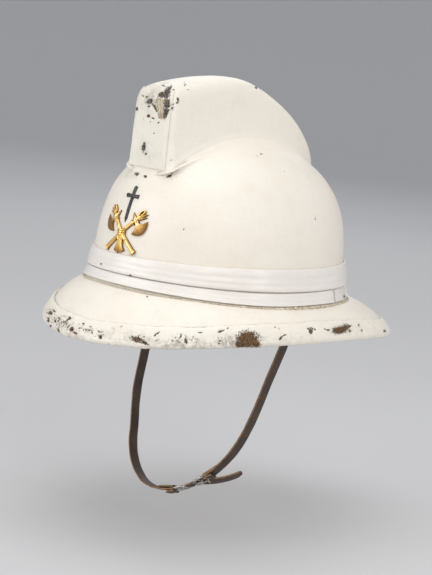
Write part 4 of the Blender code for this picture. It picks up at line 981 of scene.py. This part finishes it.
def swept_bar(points_xy, widths, heights, base=0.0, steps=14):
    """A smooth bar through a few flat points."""
    count = range(len(points_xy))
    at = np.linspace(0, len(points_xy) - 1, steps)
    path = np.stack([smooth_table(count, [p[axis] for p in points_xy], at) for axis in range(2)], axis=1)
    return bar(path, np.maximum(smooth_table(count, widths, at), 0.00015),
               np.maximum(smooth_table(count, heights, at), 0.0001), base)


half_handle = AXE_HANDLE / 2
axe_low, axe_high = -AXE_LENGTH * AXE_FOOT_SHARE, AXE_LENGTH * AXE_TOP_SHARE
axe_head = AXE_LENGTH * AXE_HEAD_SHARE
BLADE_STEPS, BLADE_RINGS = 22, 7
# Leaves above the head: middle and tip from the handle's top, and half width
LEAVES = ((0.0010, 0.0028, 0.0026, 0.0060, 0.0013), (0.0022, 0.0012, 0.0042, 0.0040, 0.0012),
          (-0.0022, 0.0004, -0.0036, 0.0016, 0.0009))
# A curled leaf whose tip comes back to its stem: marks from the handle's top, half widths and heights
CURLED_LEAF = ((-0.0002, -0.0020, 0.0006, 0.0024), (-0.0024, 0.0012, 0.0007, 0.0021),
               (-0.0027, 0.0038, 0.0007, 0.0019), (-0.0012, 0.0052, 0.0006, 0.0018),
               (-0.0001, 0.0034, 0.0006, 0.0019), (-0.0007, 0.0006, 0.0004, 0.0017))
axe_parts = []


def gold(*marks, steps=14):
    """A gilt bar through marks of x, y, half width and height."""
    marks = np.array(marks)
    return "gold", swept_bar(marks[:, :2], marks[:, 2], marks[:, 3], steps=steps)


def blade():
    """Rings from the socket out to the cutting edge, highest near the middle and thin at the edge."""
    points = []
    for ring_number in range(BLADE_RINGS + 1):
        out = ring_number / BLADE_RINGS
        spread = 13 + 41 * out ** 0.8
        for step in range(BLADE_STEPS + 1):
            angle = math.radians(-spread + 2 * spread * step / BLADE_STEPS)
            reach = AXE_BLADE * (0.12 + 0.63 * out)
            hollow = AXE_BLADE * 0.10 * out * abs(math.sin(angle)) ** 2
            x = half_handle * 0.6 + reach * math.cos(angle) - hollow
            y = axe_head + reach * 0.86 * math.sin(angle) - 0.0004 * out
            bulge = 0.95 - 0.45 * min(out, 0.80) - max(0.0, out - 0.80) * 2.2
            points.append((x, y, BADGE_THICKNESS * (0.22 + max(0.0, bulge) * 0.80)))
    count, row = len(points), BLADE_STEPS + 1
    points += [(x, y, 0.0) for x, y, z in points]
    faces = grid_faces(BLADE_RINGS + 1, row, False) + grid_faces(BLADE_RINGS + 1, row, False, count, True)
    rim = list(range(row)) + [r * row + row - 1 for r in range(1, BLADE_RINGS + 1)]
    rim += [BLADE_RINGS * row + c for c in range(row - 2, -1, -1)]
    rim += [r * row for r in range(BLADE_RINGS - 1, 0, -1)]
    faces += [(b, a, a + count, b + count) for a, b in zip(rim, rim[1:] + rim[:1])]
    return points, faces


def axe_pieces():
    """One upright axe: grooved handle, blade with a bevelled edge, spike, socket and curled leaves."""
    levels = np.linspace(axe_low, axe_high, 40)
    foot = np.clip(1 - (levels - axe_low) / (abs(axe_low) * 0.9), 0, 1)
    swell = 1 + 0.07 * np.sin(levels * 2600)
    pieces = [("gold", bar(np.stack([levels * 0, levels], axis=1), half_handle * (0.82 + 0.24 * foot),
                           BADGE_THICKNESS * 0.92 * swell ** 0.4, 0.0))]
    groove = np.linspace(axe_low * 0.97, axe_head * 0.75, 30)
    for line in (-0.42, 0.42):
        across = half_handle * line * (0.9 + 0.5 * np.clip(-groove / abs(axe_low), 0, 1))
        pieces.append(("gold", bar(np.stack([across, groove], axis=1), [0.00032] * len(groove),
                                   [BADGE_THICKNESS * 1.02] * len(groove), 0.0, 7)))
    cap = axe_low + 0.0008
    pieces.append(gold((-0.0021, cap, 0.0008, 0.0024), (0.0, cap, 0.0008, 0.0027),
                       (0.0021, cap, 0.0008, 0.0024)))
    pieces.append(("brown", blade()))
    # rear spike and socket, with a collar above and below
    pieces.append(gold((-half_handle - 0.0050, axe_head + 0.0012, 0.0003, 0.0008),
                       (-half_handle - 0.0024, axe_head + 0.0003, 0.0011, 0.0018),
                       (0.0, axe_head, 0.0024, 0.0030), (half_handle + 0.0022, axe_head, 0.0016, 0.0020)))
    for level in (axe_head - 0.0031, axe_head + 0.0031):
        pieces.append(gold((-half_handle * 1.35, level, 0.00055, 0.0020),
                           (0.0, level + 0.0001, 0.0007, 0.0031),
                           (half_handle * 1.35, level, 0.00055, 0.0020), steps=9))
    for middle_x, middle_y, tip_x, tip_y, wide in LEAVES:
        line = ((0.0, axe_high - 0.0022), (middle_x, axe_high + middle_y - 0.0008), (tip_x, axe_high + tip_y))
        for halves, heights in (((0.0010, wide, 0.00025), (0.0022, 0.0020, 0.0009)),
                                ((0.0003, 0.00028, 0.0001), (0.0027, 0.0025, 0.0011))):
            pieces.append(("gold", swept_bar(line, halves, heights, steps=11)))
    pieces.append(gold(*((x, axe_high + y, half, high) for x, y, half, high in CURLED_LEAF), steps=22))
    return pieces


for mirror, base in ((1, 0.0), (-1, BADGE_THICKNESS * 0.28)):
    for tone_name, (points, faces) in axe_pieces():
        raised = [(x, y, z + (base if z > 0 and abs(y) < 0.008 else 0.0)) for x, y, z in points]
        axe_parts.append((tone_name, (turn_flat(raised, AXE_ANGLE, mirror), faces)))
# cord: three turns round the crossing, two loop ends, and a tassel of strands with two knots
for level in (-0.0016, 0.0, 0.0016):
    axe_parts.append(gold(
        (-0.0036, level - 0.0008, 0.0009, 0.0030), (-0.0012, level - 0.0001, 0.0012, 0.0042),
        (0.0012, level + 0.0003, 0.0012, 0.0043), (0.0036, level + 0.0009, 0.0009, 0.0030)))
for side in (-1, 1):
    axe_parts.append(gold((side * 0.0006, -0.0010, 0.0006, 0.0030), (side * 0.0026, -0.0034, 0.0006, 0.0028),
                          (side * 0.0018, -0.0060, 0.0006, 0.0026), (side * 0.0002, -0.0048, 0.0006, 0.0024)))
dice = np.random.default_rng(61)
STRANDS = 9
for strand in range(STRANDS):
    lean = (strand - (STRANDS - 1) / 2) / ((STRANDS - 1) / 2)
    reach = 0.0168 - 0.0012 * abs(lean) + dice.uniform(-0.0013, 0.0006)
    wave = dice.uniform(-0.0004, 0.0004)
    axe_parts.append(gold(
        (lean * 0.0014, -0.0022, 0.00050, 0.0024), (lean * 0.0019 + wave, -0.0065, 0.00052, 0.0022),
        (lean * 0.0031 - wave, -0.0110, 0.00055, 0.0021), (lean * 0.0056, -reach, 0.00050, 0.0013)))
for level, half in ((-0.0060, 0.0024), (-0.0076, 0.0027)):
    axe_parts.append(gold((-half, level, 0.0005, 0.0021), (0, level - 0.0005, 0.0007, 0.0029),
                          (half, level, 0.0005, 0.0021), steps=9))

gilt, tree, shader = finish_named("gilt_with_painted_relief_shade")
place = add(tree, "TexCoord").outputs["Object"]
raised = add(tree, "Attribute", {"attribute_name": "raised"}).outputs["Fac"]
browned = add(tree, "Attribute", {"attribute_name": "browned"}).outputs["Fac"]
worn = add(tree, "TexNoise", Vector=place, Scale=520.0, Detail=5.0, Roughness=0.65).outputs["Fac"]
height = add(tree, "Math", {"operation": "MULTIPLY_ADD"}, n0=worn, n1=0.5, n2=-0.25)
height = add(tree, "Math", {"operation": "ADD"}, n0=height.outputs[0], n1=raised).outputs[0]
# The gilt's colour follows its height above the crown: the lower the surface, the darker, as painted shade in
# the hollows.
tone = add(tree, "ValToRGB", Fac=height)
stops = tone.color_ramp.elements
stops[0].position, stops[0].color = 0.14, (0.11, 0.048, 0.014, 1)
stops[1].position, stops[1].color = 0.85, (0.96, 0.72, 0.32, 1)
middle_stop = stops.new(0.45)
middle_stop.color = (0.64, 0.375, 0.115, 1)
tarnish = add(tree, "MapRange", Value=worn, From_Min=0.35, From_Max=0.65, To_Min=0.50, To_Max=1.0)
tarnish = add(tree, "Math", {"operation": "MULTIPLY"}, n0=tarnish.outputs["Result"], n1=browned).outputs[0]
colour = add(tree, "MixRGB", Fac=tarnish, Color1=tone.outputs["Color"], Color2=(0.28, 0.135, 0.045, 1))
join(tree, colour.outputs["Color"], shader, "Base Color")
shader.inputs["Metallic"].default_value = 1.0
rough = add(tree, "MapRange", Value=height, To_Min=0.52, To_Max=0.24).outputs["Result"]
rough = add(tree, "Math", {"operation": "MULTIPLY_ADD", "use_clamp": True}, n0=tarnish, n1=0.18, n2=rough)
join(tree, rough.outputs[0], shader, "Roughness")
dents = add(tree, "Bump", Strength=0.5, Distance=0.00025, Height=worn)
join(tree, dents.outputs["Normal"], shader, "Normal")

relief_shade_values, browned_values, badge_meshes = [], [], []
for tone_name, (points, faces) in axe_parts:
    # Each point's height share, which the gilt turns into painted shade in the hollows.
    relief_shade_values += [min(1.0, z / (BADGE_THICKNESS * 1.15)) for x, y, z in points]
    browned_values += [float(tone_name == "brown" and z < BADGE_THICKNESS * 0.9) for x, y, z in points]
    badge_meshes.append((on_crown(points, BADGE_UP, BADGE_GAP), faces))
badge = plain_object("badge_crossed_axes", badge_meshes, gilt,
                     {"raised": relief_shade_values, "browned": browned_values})
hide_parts("badge_axes")
# The badge is stamped brass, gilded: two crossed axes with leaves above their heads, tied at the crossing
# with a cord whose tassel hangs between the handles. Brown tarnish lies on the blades, and the gilt is
# painted darker the lower its surface lies, as painted shade in the hollows.


# Sword over the crossing

# A small plain sword, point down, in dark tarnished metal, pinned to the crown above the crossing. The
# blade has a ridge down its middle, and the guard and grip are rounded.
SWORD_LENGTH, SWORD_GUARD, SWORD_GUARD_SHARE, SWORD_WIDTH = 0.029, 0.013, 0.18, 0.0034
SWORD_UP, SWORD_THICKNESS = 0.0395, 0.0016

half_sword, sword_low, sword_high = SWORD_WIDTH / 2, -SWORD_LENGTH / 2, SWORD_LENGTH / 2
guard_at = SWORD_LENGTH * SWORD_GUARD_SHARE + SWORD_WIDTH * 0.45
point_top = sword_low + 0.0034
blade_levels = np.concatenate([[sword_low, sword_low + 0.0008, sword_low + 0.0018],
                               np.linspace(point_top, guard_at, 14)])
blade_halves = half_sword * np.interp(blade_levels, [sword_low, point_top, guard_at], [0.08, 0.92, 1.0])
sword_points = []
for level, half in zip(blade_levels, blade_halves):
    ridge = SWORD_THICKNESS * (0.25 + 0.75 * half / half_sword)
    sword_points += [(-half, level, 0.0), (-half, level, ridge * 0.30), (-half * 0.30, level, ridge * 0.80),
                     (0.0, level, ridge * 1.02), (half * 0.30, level, ridge * 0.80),
                     (half, level, ridge * 0.30), (half, level, 0.0)]
count = len(blade_levels)
sword_faces = grid_faces(count, 7, closed=True)
sword_faces += [tuple(reversed(range(7))), tuple(range((count - 1) * 7, count * 7))]
sword_parts = [(sword_points, sword_faces)]
sword_parts.append(swept_bar([(SWORD_GUARD * share, guard_at) for share in (-0.5, -0.25, 0, 0.25, 0.5)],
                             [0.0017, 0.00145, 0.0015, 0.00145, 0.0017],
                             [0.0016, 0.0017, 0.0019, 0.0017, 0.0016]))
sword_parts.append(swept_bar([(0, guard_at), (0, (guard_at + sword_high) / 2), (0, sword_high - 0.0006)],
                             [0.0012, 0.0014, 0.0015], [0.0016, 0.0018, 0.0017]))
sword_parts.append(swept_bar([(0, sword_high - 0.0022), (0, sword_high - 0.0010), (0, sword_high)],
                             [0.0009, 0.0017, 0.0007], [0.0015, 0.0019, 0.0010]))
gunmetal = speckled_finish("tarnished_dark_metal", (700.0, 4.0, 0.6), (0.35, (0.050, 0.050, 0.058)),
                           (0.70, (0.155, 0.150, 0.150)), 0.75, (0.0, 1.0, 0.32, 0.60), (0.4, 0.0002))
sword = plain_object("badge_plain_sword", [(on_crown(points, SWORD_UP, BADGE_GAP), faces)
                                           for points, faces in sword_parts], gunmetal)
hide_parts("badge_sword")


# Chin strap

# The strap is narrow dark brown leather, cut from one hide, with its edges rubbed to tan. It hangs from two
# lugs inside the crown, passes under the chin and is joined by two buckles, where the leather is folded back.
STRAP_DROP, STRAP_WIDTH, STRAP_LEATHER, TAIL_LENGTH = 0.1668, 0.010, 0.0018, 0.045
BUCKLE_LEFT_FROM_CHIN, BUCKLE_CHIN_FROM_CHIN = 0.046, 0.027
BUCKLE_WIDTH, BUCKLE_LENGTH, BUCKLE_BAR, BUCKLE_THICKNESS, STRAP_GAP = 0.014, 0.012, 0.0018, 0.0020, 0.0003
# Route on the wearer's left from lug to chin: shares of half the crown's width, and of the strap's drop
STRAP_ROUTE = ((0.978, 0.0300, 0.0120), (0.962, 0.0300, -0.0480), (0.918, 0.0312, -0.1199),
               (0.859, 0.0300, -0.2068), (0.815, -0.0180, -0.3657), (0.783, -0.0540, -0.4916),
               (0.750, -0.0875, -0.6043),
               (0.701, -0.1139, -0.6954), (0.641, -0.1409, -0.7734), (0.565, -0.1763, -0.8423),
               (0.478, -0.2098, -0.8975), (0.380, -0.2368, -0.9412), (0.261, -0.2608, -0.9742),
               (0.130, -0.2848, -0.9940), (0.000, -0.2938, -1.0000))
TAIL_ROUTE = ((-0.026, 0.165, -0.071), (0.020, 0.410, -0.088), (0.109, 0.677, -0.044), (0.163, 0.943, 0.029))


def smooth_route(route, step):
    chords = np.concatenate([[0.0], np.cumsum(np.linalg.norm(np.diff(route, axis=0), axis=1))])
    fine = np.linspace(0, chords[-1], max(3, int(round(chords[-1] / step)) + 1))
    return np.stack([smooth_table(chords, route[:, axis], fine) for axis in range(3)], axis=1)


def stretch(route, start, end, step):
    """Points every step along a dense route, from one distance to another."""
    chords = np.concatenate([[0.0], np.cumsum(np.linalg.norm(np.diff(route, axis=0), axis=1))])
    places = np.linspace(start, end, max(3, int(round((end - start) / step)) + 1))
    return np.stack([np.interp(places, chords, route[:, axis]) for axis in range(3)], axis=1)


def strap_axes(path):
    """Unit directions along, across and out of the strap at each point of its path."""
    along = np.gradient(path, axis=0)
    along /= np.linalg.norm(along, axis=1, keepdims=True)
    out = np.stack([path[:, 0], 0.3 * (path[:, 1] + 0.015), np.minimum(0.0, path[:, 2] + 0.115)], axis=1)
    out -= along * np.sum(out * along, axis=1, keepdims=True)
    out /= np.linalg.norm(out, axis=1, keepdims=True)
    return along, np.cross(along, out), out


# The strap's section: shares of half its width and half its thickness, with a pressed line near each edge
STRAP_SECTION = ((-1.0, 0.0), (-0.97, 0.55), (-0.90, 0.90), (-0.78, 1.0), (-0.70, 0.80), (-0.62, 1.0),
                 (-0.3, 1.03), (0.3, 1.03), (0.62, 1.0), (0.70, 0.80), (0.78, 1.0), (0.90, 0.90),
                 (0.97, 0.55), (1.0, 0.0),
                 (0.97, -0.6), (0.88, -0.95), (0.4, -1.0), (-0.4, -1.0), (-0.88, -0.95), (-0.97, -0.6))


def leather_strip(path, seed, round_end=False, width=STRAP_WIDTH, leather=STRAP_LEATHER, axes=None):
    """Points, faces and edge-wear values of a leather strip along a path."""
    along, across, out = axes or strap_axes(path)
    size = np.ones(len(path))
    if round_end:
        from_end = np.linalg.norm(path - path[-1], axis=1)
        size = np.sqrt(np.clip(1 - (1 - np.clip(from_end / (width / 2), 0, 1)) ** 2, 0.01, 1))
    wander = unevenness(path, 0.035, seed) * 0.00025
    twist = unevenness(path, 0.060, seed + 1) * 0.10
    points, edge = [], []
    for side, up in STRAP_SECTION:
        spread = side * width / 2 * size * (1 + 0.03 * unevenness(path, 0.012, seed + 2))
        lift = up * leather / 2 + wander + side * twist * leather
        points.append(path + across * spread[:, None] + out * lift[:, None])
        edge.append(np.full(len(path), abs(side) if up > -0.9 else 0.5))
    count = len(path)
    faces = grid_faces(len(STRAP_SECTION), count, closed=False)
    last = (len(STRAP_SECTION) - 1) * count
    faces += [(last + c, last + c + 1, c + 1, c) for c in range(count - 1)]
    faces += [tuple(c * count for c in range(len(STRAP_SECTION))),
              tuple(c * count + count - 1 for c in reversed(range(len(STRAP_SECTION))))]
    return np.concatenate(points), faces, np.concatenate(edge)


leather, tree, shader = finish_named("dark_strap_leather")
place = add(tree, "TexCoord").outputs["Object"]
edge_wear = add(tree, "Attribute", {"attribute_name": "edge"}).outputs["Fac"]
grain = add(tree, "TexVoronoi", {"feature": "DISTANCE_TO_EDGE"}, Vector=place, Scale=1400.0)
grain = grain.outputs["Distance"]
patch = add(tree, "TexNoise", Vector=place, Scale=90.0, Detail=5.0, Roughness=0.65).outputs["Fac"]
fine = add(tree, "TexNoise", Vector=place, Scale=900.0, Detail=3.0, Roughness=0.6).outputs["Fac"]
tone = add(tree, "ValToRGB", Fac=patch)
tone.color_ramp.elements[0].position, tone.color_ramp.elements[1].position = 0.34, 0.70
tone.color_ramp.elements[0].color = (0.030, 0.020, 0.015, 1)
tone.color_ramp.elements[1].color = (0.090, 0.055, 0.036, 1)
rub = add(tree, "Math", {"operation": "MULTIPLY_ADD"}, n0=fine, n1=0.55, n2=edge_wear).outputs[0]
rub = add(tree, "MapRange", {"interpolation_type": "SMOOTHSTEP"}, Value=rub, From_Min=1.10, From_Max=1.30)
colour = add(tree, "MixRGB", Fac=rub.outputs["Result"], Color1=tone.outputs["Color"],
             Color2=(0.34, 0.185, 0.085, 1)).outputs["Color"]
crazed = add(tree, "MapRange", Value=grain, From_Min=0.0, From_Max=0.10, To_Min=0.35, To_Max=0.0)
colour = add(tree, "MixRGB", Fac=crazed.outputs["Result"], Color1=colour,
             Color2=(0.020, 0.012, 0.008, 1)).outputs["Color"]
join(tree, colour, shader, "Base Color")
rough = add(tree, "MapRange", Value=patch, To_Min=0.38, To_Max=0.68).outputs["Result"]
join(tree, rough, shader, "Roughness")
pores = add(tree, "Bump", Strength=0.45, Distance=0.0002, Height=grain)
creases = add(tree, "Bump", Strength=0.5, Distance=0.0003, Height=fine, Normal=pores.outputs["Normal"])
join(tree, creases.outputs["Normal"], shader, "Normal")

route = np.array([(side * CROWN_WIDTH / 2, back * STRAP_DROP, up * STRAP_DROP)
                  for side, back, up in STRAP_ROUTE])
half_loop = smooth_route(route, 0.001)
loop = np.concatenate([half_loop, half_loop[:-1][::-1] * (-1, 1, 1)])
middle_length = float(np.sum(np.linalg.norm(np.diff(half_loop, axis=0), axis=1)))
loop_length = 2 * middle_length
left_place, chin_place = middle_length - BUCKLE_LEFT_FROM_CHIN, middle_length - BUCKLE_CHIN_FROM_CHIN
clear = BUCKLE_LENGTH / 2 + STRAP_GAP


def frame_at(place):
    near = stretch(loop, place - 0.001, place + 0.001, 0.001)
    along, across, out = strap_axes(near)
    return near[1], along[1], across[1], out[1]


def fold_back(place, towards, length, lift, seed):
    """The strap's end, which goes round the buckle's bar and comes back along its own inner face."""
    centre, along, across, out = frame_at(place)
    bar_at = centre - along * towards * (BUCKLE_LENGTH / 2 - BUCKLE_BAR / 2)
    turn = np.radians(np.linspace(90, 270, 13))
    radius = BUCKLE_THICKNESS / 2 + STRAP_LEATHER / 2 + STRAP_GAP
    path = [bar_at - along * towards * step + out * (radius - 0.0006)
            for step in np.linspace(0.0075, 0.0012, 5)]
    path += [bar_at + along * towards * math.cos(a) * radius + out * math.sin(a) * radius for a in turn]
    back = np.linspace(0.0012, length, 12)
    path += [bar_at - along * towards * step - out * (radius + lift * step / length) for step in back]
    path = np.array(path)
    ahead = np.gradient(path, axis=0)
    ahead /= np.linalg.norm(ahead, axis=1, keepdims=True)
    wide = np.broadcast_to(across, path.shape)
    face = np.cross(wide, ahead)
    return leather_strip(path, seed, False, STRAP_WIDTH * 0.94, STRAP_LEATHER * 0.9, (ahead, wide, face))


strap_pieces = {
    "strap_left_length": ("strap_left", stretch(loop, 0.0, left_place - clear, 0.0012), 71),
    "strap_link_length": ("strap_link", stretch(loop, left_place + clear, chin_place - clear, 0.0008), 74),
    "strap_right_length": ("strap_right", stretch(loop, chin_place + clear, loop_length, 0.0012), 77),
}
for name, (node, path, seed) in strap_pieces.items():
    points, faces, edge = leather_strip(path, seed)
    made = plain_object(name, [(points, faces)], leather, {"edge": edge})
    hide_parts(node)

centre, along, across, out = frame_at(left_place)
start = centre - out * (BUCKLE_THICKNESS / 2 + STRAP_LEATHER / 2 + 2 * STRAP_GAP)
tail_route = start + TAIL_LENGTH * np.array([(0, 0, 0), *TAIL_ROUTE])
points, faces, edge = leather_strip(smooth_route(tail_route, 0.0008), 80, round_end=True)
tail = plain_object("strap_free_end", [(points, faces)], leather, {"edge": edge})
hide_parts("strap_tail")

folds = [fold_back(left_place, 1, 0.016, 0.0010, 83), fold_back(chin_place, -1, 0.014, 0.0022, 86)]
fold_edges = np.concatenate([fold[2] for fold in folds])
folded = plain_object("strap_folded_ends", [(points, faces) for points, faces, edge in folds], leather,
                      {"edge": fold_edges})


# Buckles

# Each buckle is a bent wire frame of tarnished nickel with a middle bar and a tongue. The tongue is a wire
# curled round the bar, and its tip rests on the frame.
WIRE, BUCKLE_CORNER = BUCKLE_BAR / 2, 0.0022

nickel = speckled_finish("tarnished_nickel", (650.0, 5.0, 0.7), (0.36, (0.20, 0.17, 0.14)),
                         (0.62, (0.66, 0.66, 0.65)), 1.0, (0.3, 0.7, 0.55, 0.22), (0.4, 0.0002))


def buckle_parts(place):
    centre, along, across, out = frame_at(place)
    half_wide, half_long = BUCKLE_WIDTH / 2 - WIRE, BUCKLE_LENGTH / 2 - WIRE
    outline = []
    for x, y, first in ((1, 1, 0), (-1, 1, 90), (-1, -1, 180), (1, -1, 270)):
        for angle in np.radians(np.linspace(first, first + 90, 7)):
            outline.append(((half_wide - BUCKLE_CORNER) * x + BUCKLE_CORNER * math.cos(angle),
                            (half_long - BUCKLE_CORNER) * y + BUCKLE_CORNER * math.sin(angle)))
    outline = np.array(outline)
    wire = centre + outline[:, :1] * across + outline[:, 1:] * along
    parts = [tube_along(wire, WIRE, 12, closed=True)]
    bar_line = np.array([centre + across * x * half_wide for x in np.linspace(-1, 1, 9)])
    parts.append(tube_along(bar_line, WIRE * 0.8, 10))
    marks = ((-0.0016, -0.0003), (-0.0018, 0.0010), (-0.0004, 0.0018), (0.0018, 0.0015), (0.0040, 0.0013),
             (half_long + 0.0004, 0.0016))
    tongue = smooth_route(np.array([centre + along * y + out * z for y, z in marks]), 0.0005)
    radii = np.interp(np.linspace(0, 1, len(tongue)), [0, 0.6, 1], [0.0008, 0.0008, 0.0005])
    parts.append(tube_along(tongue, radii, 10))
    return parts


for name, node, place_on_strap in (("buckle_left_wire", "buckle_left", left_place),
                                   ("buckle_chin_wire", "buckle_chin", chin_place)):
    made = plain_object(name, buckle_parts(place_on_strap), nickel)
    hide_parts(node)


# Frayed thread at the left buckle

# The thread that sewed the strap's fold has come undone, and hangs as a small pale tuft under the buckle.
TUFT_THREADS, TUFT_THREAD_RADIUS = 16, 0.00024

centre, along, across, out = frame_at(left_place)
tuft_root = centre + across * 0.0022 - out * 0.0012 - along * 0.0075
dice = np.random.default_rng(91)
tuft_parts = []
for strand in range(TUFT_THREADS):
    way = dice.normal(size=3) * 0.5 + np.array((0.25, 0.45, -0.55))
    way /= np.linalg.norm(way)
    length = dice.uniform(0.003, 0.0075)
    curl = dice.normal(size=3) * 0.0012
    path = np.array([tuft_root, tuft_root + way * length * 0.5 + curl, tuft_root + way * length - curl * 0.6])
    tuft_parts.append(tube_along(smooth_route(path, 0.0006), TUFT_THREAD_RADIUS, 5))
tuft = plain_object("strap_frayed_thread", tuft_parts, thread)


# Lugs inside the crown

# Two plain blocks riveted to the inner wall hold the strap's ends. They are hidden in use, so the CAD block
# keeps its shape and gets a dull cast-metal finish.
cast = speckled_finish("dull_cast_metal", (480.0, 6.0, 0.7), (0.3, (0.10, 0.085, 0.07)),
                       (0.7, (0.32, 0.31, 0.30)), 0.9, (0.0, 1.0, 0.45, 0.75), (0.6, 0.0004))
for name in ("lug_left", "lug_right"):
    for material_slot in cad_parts[name].material_slots:
        material_slot.material = cast
